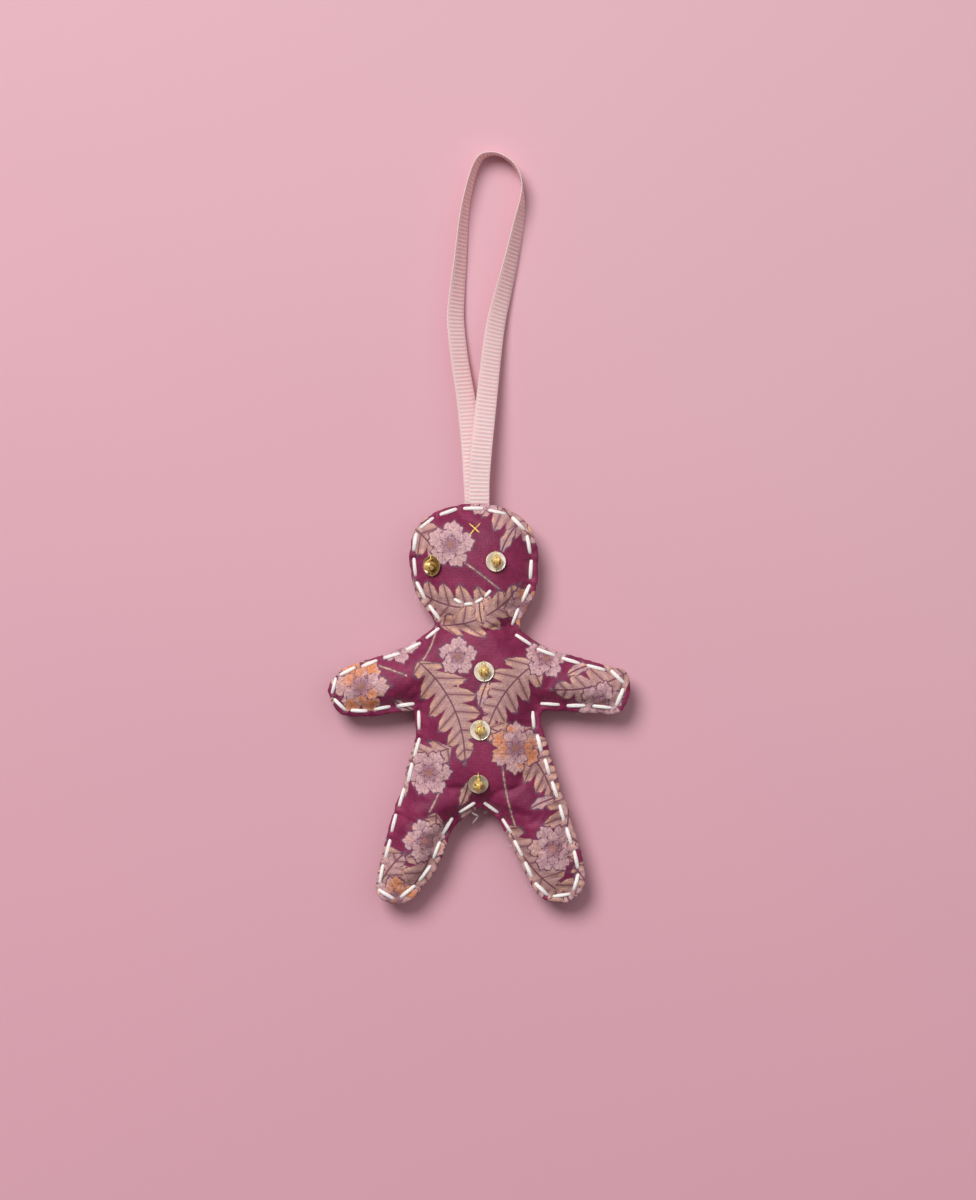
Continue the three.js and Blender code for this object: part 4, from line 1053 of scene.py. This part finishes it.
def grown_by(thing, tree, values):
    """Runs a node tree on an object with named input values and keeps its result as a plain mesh."""
    modifier = thing.modifiers.new(tree.name, "NODES")
    modifier.node_group = tree
    sockets = {item.name: item.identifier for item in tree.interface.items_tree if item.in_out == "INPUT"}
    for name, value in values.items():
        modifier[sockets[name]] = value
    apply_modifiers(thing)


def catmull_rom(route, steps):
    """A smooth path through a route's points, sampled evenly by its length."""
    route = np.asarray(route, float)
    ends = np.vstack([2 * route[0] - route[1], route, 2 * route[-1] - route[-2]])
    fine = []
    for p0, p1, p2, p3 in zip(ends, ends[1:], ends[2:], ends[3:]):
        t = np.linspace(0, 1, 24, endpoint=False)[:, None]
        square, cube = 2 * p0 - 5 * p1 + 4 * p2 - p3, 3 * p1 - p0 - 3 * p2 + p3
        fine.append(0.5 * (2 * p1 + (p2 - p0) * t + square * t**2 + cube * t**3))
    fine = np.vstack([*fine, route[-1:]])
    lengths = travelled(fine[:, :3])
    at = np.linspace(0, lengths[-1], steps)
    return np.stack([np.interp(at, lengths, column) for column in fine.T], axis=1), at


def strand_lines(paths, widths, strands, twist, strand_half, seed):
    """Twisted strands along paths, drawn together at both ends: points, edges and half widths."""
    random = np.random.default_rng(seed)
    points, edges, half = [], [], []
    for path, width in zip(paths, widths):
        path = np.asarray(path, float)
        along = unit(np.gradient(path, axis=0))
        across = unit(np.cross(along, [0, 0, 1.0]))
        up = np.cross(across, along)
        lengths = travelled(path)
        share = lengths / lengths[-1]
        pinch = 0.45 + 0.55 * np.sin(math.pi * np.clip(share, 0, 1)) ** 0.5
        phase = random.uniform(0, 2 * math.pi)
        for n in range(strands):
            angle = phase + 2 * math.pi * n / strands + twist * lengths
            reach = (width / 2 - strand_half) * pinch * random.uniform(0.92, 1.05)
            # The thread lies a fifth flatter than it is wide
            aside, above = np.cos(angle) * reach, np.sin(angle) * reach * 0.8
            line = path + across * aside[:, None] + up * above[:, None]
            first = len(points)
            points.extend(line.tolist())
            edges.extend([(first + i, first + i + 1) for i in range(len(line) - 1)])
            half.extend((strand_half * MM * (0.75 + 0.25 * pinch)).tolist())
    return points, edges, half


def thread_object(name, lines, tree, material, sides):
    """An object of strands from lines."""
    points, edges, half = lines
    mesh = bpy.data.meshes.new(name)
    mesh.from_pydata((np.asarray(points) * MM).tolist(), edges, [])
    write_values(mesh, {"half_width": half})
    thing = linked(name, mesh)
    grown_by(thing, tree, {"Sides": sides, "Material": material})
    return thing


# Pieces, lines and materials that later operators use
made = {}


def seated(piece, slot, *nodes):
    """Lays a finished piece on the figure, in the place of its CAD nodes."""
    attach(piece, "figure")
    if nodes:
        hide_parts(*nodes)


def on_surface(tree, x, y, side, fallback):
    """Height of the finished cloth at a place, seen from the front (1) or the back (-1)."""
    hit = tree.ray_cast((x, y, 60 * side), Vector((0, 0, -side)))[0]
    return hit.z if hit is not None else fallback


def stitch_path(tree, a, b, side, lift, dive, count=13):
    """A stitch that lies on the cloth and goes down into it at both ends."""
    a, b = np.asarray(a), np.asarray(b)
    reach = (b - a) * 0.4 / max(np.linalg.norm(b - a), 1e-9)
    a, b = a - reach, b + reach
    path = []
    for share in np.linspace(0, 1, count):
        x, y = a[:2] + (b[:2] - a[:2]) * share
        height = on_surface(tree, x, y, side, a[2] + (b[2] - a[2]) * share)
        path.append([x, y, height])
    path = np.array(path)
    path[:, 2] = np.convolve(np.pad(path[:, 2], 2, mode="edge"), np.ones(5) / 5, mode="valid")
    bow = np.sin(math.pi * np.linspace(0, 1, count)) ** 0.35
    path[:, 2] += side * (lift * bow - dive * (1 - bow))
    return path


class ORNAMENT_OT_stage(bpy.types.Operator):
    """Makes the floor, the lamp and the camera."""

    bl_idname = "ornament.stage"
    bl_label = "Stage"

    def execute(self, context):
        sizes = context.scene.ornament_stage
        scene = context.scene
        corners = np.array([(-1, -1, 0), (1, -1, 0), (1, 1, 0), (-1, 1, 0)]) * FLOOR_HALF / MM
        new_object("floor", corners, [(0, 1, 2, 3)], pink_paper(sizes))
        data = bpy.data.cameras.new("camera")
        data.lens, data.sensor_width, data.sensor_fit = 85.0, 36.0, "AUTO"
        camera = linked("camera", data)
        camera.location = (*CAMERA_PLAN, sizes.camera_rise + SEAM_Z * MM)
        scene.camera = camera
        data = bpy.data.lights.new("key_lamp", "AREA")
        data.shape, data.size, data.energy = "DISK", LAMP_SIZE, sizes.key_power
        lamp = linked("key_lamp", data)
        lamp.location = LAMP_PLACE
        lamp.rotation_euler = (Vector(LAMP_AIM) - lamp.location).to_track_quat("-Z", "Y").to_euler()
        scene.world = self.room()
        scene.view_settings.view_transform = "Standard"
        return {"FINISHED"}

    @staticmethod
    def room():
        """A dim room with one soft white panel overhead, which the sequins and beads reflect."""
        world = bpy.data.worlds.new("room")
        world.use_nodes = True
        tree = world.node_tree
        background = tree.nodes["Background"]
        way = add(tree, "ShaderNodeTexCoord").outputs["Generated"]
        panel = Vector((0.4, 0.3, 0.87)).normalized()
        facing = add(tree, "ShaderNodeVectorMath", {"operation": "DOT_PRODUCT"}, {0: way, 1: panel})
        # Cosines: the panel glows fully within 26 degrees of its middle and fades out by 44
        limits = {"From Min": 0.72, "From Max": 0.9, "To Min": 0.13, "To Max": 0.75}
        limits["Value"] = facing.outputs["Value"]
        glow = add(tree, "ShaderNodeMapRange", SMOOTH, limits)
        background.inputs[0].default_value = linear(0xFFF8FA)
        tree.links.new(glow.outputs[0], background.inputs[1])
        return world


class ORNAMENT_OT_ribbon(bpy.types.Operator):
    """Makes the hanging ribbon: a grosgrain loop with both tails sewn into the head."""

    bl_idname = "ornament.ribbon"
    bl_label = "Hanging ribbon"

    def execute(self, context):
        sizes = context.scene.ornament_sizes
        centres, at = catmull_rom(RIBBON_ROUTE, RIBBON_STEPS)
        turns = np.radians(centres[:, 3])
        path = centres[:, :3]
        along = unit(np.gradient(path, axis=0))
        wide = np.stack([np.cos(turns), np.zeros(len(turns)), -np.sin(turns)], axis=1)
        wide = unit(wide - along * (wide * along).sum(axis=1, keepdims=True))
        thick = np.cross(wide, along)
        half_w, half_t = sizes.ribbon_width / MM / 2, sizes.ribbon_thickness / MM / 2
        # The woven edge goes in and out by 0.07 mm at each rib
        scallop = 0.07 * np.sin(2 * math.pi * at / (sizes.rib_spacing / MM))
        ring = [*RIBBON_SECTION, *((s, -r) for s, r in reversed(RIBBON_SECTION))]
        points, across = [], []
        for s, r in ring:
            reach = s * half_w + (np.sign(s) * scallop if abs(s) > 0.9 else 0)
            points.append(path + wide * np.broadcast_to(reach, len(path))[:, None] + thick * (r * half_t))
            across.append(np.full(len(path), s))
        count = len(ring)
        points = np.stack(points, axis=1).reshape(-1, 3)
        across = np.stack(across, axis=1).ravel()
        faces = []
        for i in range(len(path) - 1):
            for k in range(count):
                a, b = i * count + k, i * count + (k + 1) % count
                faces.append((b, a, a + count, b + count))
        last = (len(path) - 1) * count
        faces.append(tuple(range(count)))
        faces.append(tuple(last + k for k in reversed(range(count))))
        material = grosgrain()
        values = {"along": np.repeat(at, count), "across": across}
        ribbon = new_object("hanging_ribbon", points, faces, material, values)
        values = {"Rib spacing": sizes.rib_spacing, "Rib height": sizes.rib_height, "Material": material}
        grown_by(ribbon, ribs_tree(), values)
        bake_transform(ribbon)
        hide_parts("hanging_loop", "lower_ribbon_tail", "upper_ribbon_tail")
        return {"FINISHED"}


class ORNAMENT_OT_cloth(bpy.types.Operator):
    """Makes the front and the back cloth: printed silk, swollen by the stuffing and held by the stitches."""

    bl_idname = "ornament.cloth"
    bl_label = "Cloth"

    def execute(self, context):
        sizes = context.scene.ornament_sizes
        material = printed_silk()
        points, faces = skin_from_maps(*height_maps(MAP_PITCH))
        skin = new_object("skin", points * SWELL_SCALE, faces, material)
        remeshed(skin, SWELL_VOXEL * MM)
        points, _ = mesh_arrays(skin)
        points = relaxed(points, edge_array(skin.data), rounds=6, amount=0.5)
        runs = stitch_runs("seam_thread", lambda p: p[:, 2] > SEAM_Z + RIM_HALF)
        made["seam"] = drawn_in(chained(runs), STITCH_INSET)
        made["smile"] = stitch_runs("smile_thread", lambda p: p[:, 2] > (p[:, 2].min() + p[:, 2].max()) / 2)
        starts = np.array([a[:2] for a, b in made["seam"]])
        ends = np.array([b[:2] for a, b in made["seam"]])
        write_points(skin, points)
        # Held fast within 0.3 mm of a stitch and at the seam; free 1.3 mm from a stitch, or 0.8 mm above
        # or below the seam
        life = points / SWELL_SCALE
        gap = near_segments(life[:, :2], starts, ends)
        held = np.clip(1.3 - gap, 0, 1)
        held = np.maximum(held, np.clip(1 - np.abs(life[:, 2] - SEAM_Z) / 0.8, 0, 1))
        write_points(skin, puffed(skin, held, SWELL_LIMIT, SWELL_FRAMES))
        skin.data.transform(Matrix.Scale(1 / SWELL_SCALE, 4))
        subdivide = skin.modifiers.new("Finer", "SUBSURF")
        subdivide.levels = subdivide.render_levels = 1
        apply_modifiers(skin)
        self.sculpt(skin, starts, ends)
        self.split(skin, material, sizes)
        return {"FINISHED"}

    def sculpt(self, skin, starts, ends):
        """Draws the cloth in at the needle places, under the thread and under the sequins."""
        points, _ = mesh_arrays(skin)
        normals = normals_of(skin.data)
        random = np.random.default_rng(SEED)
        plan = points[:, :2]
        front = points[:, 2] > SEAM_Z
        total = np.zeros(len(points))
        gap = near_segments(plan, starts, ends)
        backs = np.roll(starts, -1, axis=0)
        back_gap = near_segments(plan, ends, backs)
        total -= hollow(np.where(front, gap, back_gap), 0.3, 0.75)
        ways = unit(ends - starts)
        needles = np.concatenate([starts, ends])
        ways = np.concatenate([ways, ways])
        depths = random.uniform(0.2, 0.46, len(needles))
        reaches = random.uniform(1.8, 4.2, len(needles))
        leans = random.uniform(-0.35, 0.35, len(needles))
        dent = np.zeros(len(points))
        for place, way, depth, reach, lean in zip(needles, ways, depths, reaches, leans):
            away = plan - place
            # Nothing shows of a pucker beyond 11 mm
            near = (away**2).sum(axis=1) < 120
            side = away[near] @ way
            out = away[near] @ np.array([-way[1], way[0]])
            side = side + lean * np.abs(out)
            fade = np.exp(-np.maximum(out, 0) / reach) * np.exp(-np.maximum(-out, 0) / 1.1)
            value = hollow(side, depth, 0.55 + 0.12 * np.abs(out)) * fade
            dent[near] = np.maximum(dent[near], value)
        sideways = np.linalg.norm(normals[:, :2], axis=1)
        total -= dent * (1 - 0.75 * sideways**2)
        for a, b in made["smile"]:
            smile_gap = near_segments(plan, a[None, :2], b[None, :2])
            total -= np.where(front, hollow(smile_gap, 0.35, 0.8) + 0.22 * np.exp(-smile_gap / 2.4), 0)
        for name in EYES + BUTTONS:
            away = np.hypot(*(plan - plan_centre(name + "_sequin")).T)
            total -= np.where(front, hollow(away, 0.35, 3.4), 0)
        away = np.hypot(*(plan - plan_centre("cross_stitch_thread") - [0.1, 1.4]).T)
        total -= np.where(front, hollow(away, 0.5, 1.3) + hollow(away, 0.25, 3.2), 0)
        # The folded edges of the two cloths meet in a shallow groove along the seam.
        level = np.clip(1 - np.abs(points[:, 2] - SEAM_Z) / 1.25, 0, 1)
        total -= 0.75 * level**2 * np.clip(sideways * 1.6 - 0.5, 0, 1)
        points = points + normals * total[:, None]
        points[:, 2] = np.maximum(points[:, 2], 0.0)
        points = relaxed(points, edge_array(skin.data), rounds=1, amount=0.25)
        # The swell stays within 0.8 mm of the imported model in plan, and within it in height
        low, high = np.array(CAD_BOX[0]) / MM, np.array(CAD_BOX[1]) / MM
        write_points(skin, np.clip(points, low - [0.8, 0.8, 0], high + [0.8, 0.8, 0]))

    def split(self, skin, material, sizes):
        """Parts the skin along the seam into the front and the back cloth, and prints them."""
        for name, side in (("front_cloth", 1), ("back_cloth", -1)):
            half = bmesh.new()
            half.from_mesh(skin.data)
            # The two cloths lie 0.12 mm apart at the seam
            seam, way = (0, 0, (SEAM_Z + side * 0.06) * MM), (0, 0, side)
            geometry = half.verts[:] + half.edges[:] + half.faces[:]
            bmesh.ops.bisect_plane(half, geom=geometry, plane_co=seam, plane_no=way, clear_inner=True)
            mesh = bpy.data.meshes.new(name)
            half.to_mesh(mesh)
            half.free()
            mesh.shade_smooth()
            mesh.materials.clear()
            mesh.materials.append(material)
            cloth = linked(name, mesh)
            points, _ = mesh_arrays(cloth)
            shift = (0, 0) if side > 0 else BACK_SHIFT
            leaf, petal = motif_fields(points[:, 0] * side + shift[0], points[:, 1] + shift[1])
            write_values(mesh, {f"leaf_{key}": value for key, value in leaf.items()})
            write_values(mesh, {f"petal_{key}": value for key, value in petal.items()})
            wall = cloth.modifiers.new("Cloth thickness", "SOLIDIFY")
            wall.thickness = sizes.cloth
            wall.offset = -1
            seated(cloth, "printed_silk", "front_panel" if side > 0 else "back_panel")
            made[name] = cloth
        bpy.data.objects.remove(skin)


class ORNAMENT_OT_stuffing(bpy.types.Operator):
    """Makes the wadding of the torso, the head and each limb."""

    bl_idname = "ornament.stuffing"
    bl_label = "Stuffing"

    def execute(self, context):
        material = wadding()
        random = np.random.default_rng(SEED)
        for part in PADDINGS:
            node = f"{part}_padding"
            points, triangles = merged_node(node)
            faces = [f for f in triangles.tolist() if len(set(f)) == 3]
            pad = new_object(f"{part}_wadding", points, faces, material)
            remeshed(pad, WADDING_VOXEL * MM)
            points, _ = mesh_arrays(pad)
            points = relaxed(points, edge_array(pad.data), rounds=4, amount=0.5)
            ripple = sum(np.sin(points @ random.normal(0, 0.9, 3) + random.uniform(0, 6)) for _ in range(4))
            # Drawn in by a quarter of a millimetre, clear of the cloth; four waves of 0.09 mm make its clumps
            write_points(pad, points + normals_of(pad.data) * (0.09 * ripple - 0.25)[:, None])
            seated(pad, "fibrefill", node)
        return {"FINISHED"}


class ORNAMENT_OT_white_thread(bpy.types.Operator):
    """Makes the running stitch round the seam, its loose end and the smile."""

    bl_idname = "ornament.white_thread"
    bl_label = "White thread"

    def execute(self, context):
        sizes = context.scene.ornament_sizes
        tree = strands_tree()
        material = cotton_floss()
        made["strands"] = tree
        surface, _ = ray_tree(made["front_cloth"], made["back_cloth"])
        random = np.random.default_rng(SEED)
        width = sizes.thread / MM
        runs = made["seam"]
        paths, widths = [], []
        for i, (a, b) in enumerate(runs):
            wander = random.normal(0, 0.12, (2, 3)) * [1, 1, 0]
            paths.append(stitch_path(surface, a + wander[0], b + wander[1], 1, LIFT, DIVE))
            widths.append(width * random.uniform(0.92, 1.12))
            following = runs[(i + 1) % len(runs)][0]
            # The thread runs on along the back, but doesn't close the gap where it starts and ends
            if np.hypot(*(following - b)[:2]) < 6:
                paths.append(stitch_path(surface, b, following, -1, BACK_LIFT, BACK_DIVE, 9))
                widths.append(width * random.uniform(0.85, 1.0))
        twist, half = FLOSS_TWIST, width * FLOSS_STRAND
        lines = strand_lines(paths, widths, sizes.strands, twist, half, SEED)
        seam = thread_object("seam_stitches", lines, tree, material, sides=7)
        end = thread_object("loose_thread_end", self.loose_end(), tree, material, sides=6)
        fray = thread_object("frayed_fibres", self.fibres(runs, random), tree, material, sides=4)
        paths = [stitch_path(surface, a, b, 1, LIFT, DIVE) for a, b in made["smile"]]
        widths = [width * 0.95] * len(paths)
        lines = strand_lines(paths, widths, sizes.strands, twist, half, SEED + 1)
        smile = thread_object("smile_stitches", lines, tree, material, sides=7)
        seated(seam, "white_thread", "seam_thread")
        seated(smile, "white_thread", "smile_thread")
        seated(end, "white_thread")
        seated(fray, "white_thread")
        return {"FINISHED"}

    @staticmethod
    def fibres(runs, random):
        """Fine fibres that have worked loose from the silk's cut edges along the seam."""
        paths = []
        for number in random.choice(len(runs), 24):
            a, b = runs[number]
            way = (b - a) / np.linalg.norm(b - a)
            out = np.array([way[1], -way[0], 0])
            start = a + (b - a) * random.uniform(0, 1) + out * 1.3
            start[2] = SEAM_Z + random.uniform(-0.6, 0.9)
            reach, swing = random.uniform(0.6, 1.7), random.normal(0, 0.9)
            route = [
                start - out * 0.5,
                start + out * 0.5,
                start + out * reach * 0.8 + way * swing * 0.5,
                start + out * reach * 0.9 + way * swing,
                start + out * reach * 0.5 + way * swing * 1.6,
            ]
            paths.append(catmull_rom(route, steps=14)[0])
        widths = [0.06] * len(paths)
        return strand_lines(paths, widths, strands=1, twist=0.1, strand_half=0.02, seed=SEED)

    @staticmethod
    def loose_end():
        """The thread's thin loose end at the crotch, bent twice as it left the needle."""
        path, _ = catmull_rom(LOOSE_END, steps=26)
        return strand_lines([path], [0.5], strands=3, twist=1.6, strand_half=0.13, seed=SEED + 2)


def seat_of(name):
    """A sequin's seat from its CAD node: the middle of its hole, its own axes, and Z away from the cloth."""
    points, _ = merged_node(name + "_sequin")
    middle = points.mean(axis=0)
    _, _, axes = np.linalg.svd(points - middle)
    normal = axes[2] if axes[2][2] > 0 else -axes[2]
    upward = np.array([0, 1.0, 0])
    upward -= normal * upward.dot(normal)
    upward /= np.linalg.norm(upward)
    basis = np.stack([np.cross(upward, normal), upward, normal], axis=1)
    heights = (points - middle) @ normal
    return basis, middle + normal * heights.min()


def placed(points, seat):
    """Points given in a seat's own axes, laid in the scene."""
    basis, origin = seat
    return np.asarray(points) @ basis.T + origin


def lathe(profile, sides):
    """A closed ring of faces round Z from a closed profile of radius and height."""
    angles = np.linspace(0, 2 * math.pi, sides, endpoint=False)
    points = [(r * math.cos(t), r * math.sin(t), z) for t in angles for r, z in profile]
    count = len(profile)
    faces = []
    for i in range(sides):
        for k in range(count):
            a, b = i * count + k, i * count + (k + 1) % count
            c, d = ((i + 1) % sides) * count + (k + 1) % count, ((i + 1) % sides) * count + k
            faces.append((a, d, c, b))
    return np.array(points), faces


def outward(thing):
    """Turns a closed mesh's faces outward."""
    work = bmesh.new()
    work.from_mesh(thing.data)
    bmesh.ops.recalc_face_normals(work, faces=work.faces)
    work.to_mesh(thing.data)
    work.free()


class ORNAMENT_OT_sequins(bpy.types.Operator):
    """Makes the eyes and the buttons: a cup sequin, a gold bead and the gold thread over them."""

    bl_idname = "ornament.sequins"
    bl_label = "Eyes and buttons"

    def execute(self, context):
        film, glass = sequin_film(), foil_lined_glass()
        gold = gold_thread()
        made["gold"] = gold
        for index, name in enumerate(EYES + BUTTONS):
            seat = seat_of(name)
            profile = [*SEQUIN_DISH, *((r, z + SEQUIN_FILM) for r, z in reversed(SEQUIN_DISH))]
            points, faces = lathe(profile, 64)
            radius = np.hypot(points[:, 0], points[:, 1])
            values = {"radius": radius, "amber_and_reflection": np.full(len(radius), AMBER_AND_REFLECTION[name])}
            sequin = new_object(f"{name}_cup", placed(points, seat), faces, film, values)
            outward(sequin)
            seated(sequin, "sequin_film", name + "_sequin")
            seated(self.bead(name, seat, glass), "gold_bead", name + "_bead")
            seated(self.over_thread(name, seat, gold, index), "gold_thread", name + "_thread")
        return {"FINISHED"}

    @staticmethod
    def bead(name, seat, glass):
        """A barrel bead with its bore along the sequin's Y, its sides a little faceted."""
        profile = [*BEAD_SIDE, *((r, -z) for r, z in reversed(BEAD_SIDE)), *BEAD_BORE]
        points, faces = lathe(profile, 28)
        # Laid on its side, so that the bore runs along Y
        points = points @ np.array([[1, 0, 0], [0, 0, 1], [0, -1, 0]], float)
        angle = np.arctan2(points[:, 2], points[:, 0])
        points[:, [0, 2]] *= (1 + 0.03 * np.cos(angle * 7))[:, None]
        points[:, 2] += BEAD_RISE
        bead = new_object(f"{name}_barrel", placed(points, seat), faces, glass)
        outward(bead)
        return bead

    @staticmethod
    def over_thread(name, seat, gold, index):
        """Passes of gold thread up through the sequin, over the bead and down, spread a little apart."""
        random = np.random.default_rng(SEED + index)
        paths = []
        # The middle pass goes over the cup's rim, and the two beside it go down inside the cup
        for spread in (-1, 0, 1):
            bow = 0.3 * spread + random.normal(0, 0.06)
            reach = 2.95 if spread == 0 else 2.1
            rim = 0.85 if spread == 0 else 0.45
            high = 3.6 - 0.1 * abs(spread)
            half = [
                (0.1 * spread, reach, rim - 1.5),
                (0.12 * spread, reach - 0.1, rim),
                (bow * 0.7, 1.75, 1.35),
                (bow, 1.05, high - 0.5),
            ]
            route = [(x, -y, z) for x, y, z in half] + [(bow * 1.1, 0, high)] + half[::-1]
            path, _ = catmull_rom(route, steps=42)
            paths.append(placed(path, seat))
        widths = [0.34] * len(paths)
        lines = strand_lines(paths, widths, strands=2, twist=2.2, strand_half=0.11, seed=SEED + index)
        return thread_object(f"{name}_gold_thread", lines, made["strands"], gold, sides=6)


class ORNAMENT_OT_cross_stitch(bpy.types.Operator):
    """Makes the gold cross stitch that holds the ribbon."""

    bl_idname = "ornament.cross_stitch"
    bl_label = "Cross stitch"

    def execute(self, context):
        surface, _ = ray_tree(made["front_cloth"], made["back_cloth"])
        paths = []
        for order, (a, b) in enumerate(CROSS_STROKES):
            a, b = np.array([*a, 13.0]), np.array([*b, 13.0])
            # The second stroke lies 0.2 mm higher, over the first
            paths.append(stitch_path(surface, a, b, 1, lift=0.25 + 0.2 * order, dive=0.7, count=15))
        lines = strand_lines(paths, [0.5] * 2, strands=3, twist=1.6, strand_half=0.15, seed=SEED)
        cross = thread_object("gold_cross_stitch", lines, made["strands"], made["gold"], sides=7)
        seated(cross, "gold_thread", "cross_stitch_thread")
        return {"FINISHED"}


class ORNAMENT_PT_panel(bpy.types.Panel):
    """Lists the ornament's sizes and pieces."""

    bl_idname = "ORNAMENT_PT_panel"
    bl_label = "Silk gingerbread ornament"
    bl_space_type = "VIEW_3D"
    bl_region_type = "UI"
    bl_category = "Ornament"

    def draw(self, context):
        layout = self.layout
        for group in (context.scene.ornament_stage, context.scene.ornament_sizes):
            box = layout.box()
            for name in group.__annotations__:
                box.prop(group, name)
        for operator in OPERATORS:
            layout.operator(operator.bl_idname)


OPERATORS = (
    ORNAMENT_OT_stage,
    ORNAMENT_OT_ribbon,
    ORNAMENT_OT_cloth,
    ORNAMENT_OT_stuffing,
    ORNAMENT_OT_white_thread,
    ORNAMENT_OT_sequins,
    ORNAMENT_OT_cross_stitch,
)
CLASSES = (OrnamentStage, OrnamentSizes, *OPERATORS, ORNAMENT_PT_panel)


def register():
    """Registers the classes and hangs their settings on the scene."""
    for cls in CLASSES:
        bpy.utils.register_class(cls)
    bpy.types.Scene.ornament_stage = bpy.props.PointerProperty(type=OrnamentStage)
    bpy.types.Scene.ornament_sizes = bpy.props.PointerProperty(type=OrnamentSizes)


def unregister():
    """Takes away what register() added."""
    del bpy.types.Scene.ornament_sizes
    del bpy.types.Scene.ornament_stage
    for cls in reversed(CLASSES):
        bpy.utils.unregister_class(cls)


def main():
    """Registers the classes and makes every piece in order."""
    register()
    for operator in OPERATORS:
        getattr(bpy.ops.ornament, operator.bl_idname.split(".")[1])()


if __name__ == "__main__":
    main()
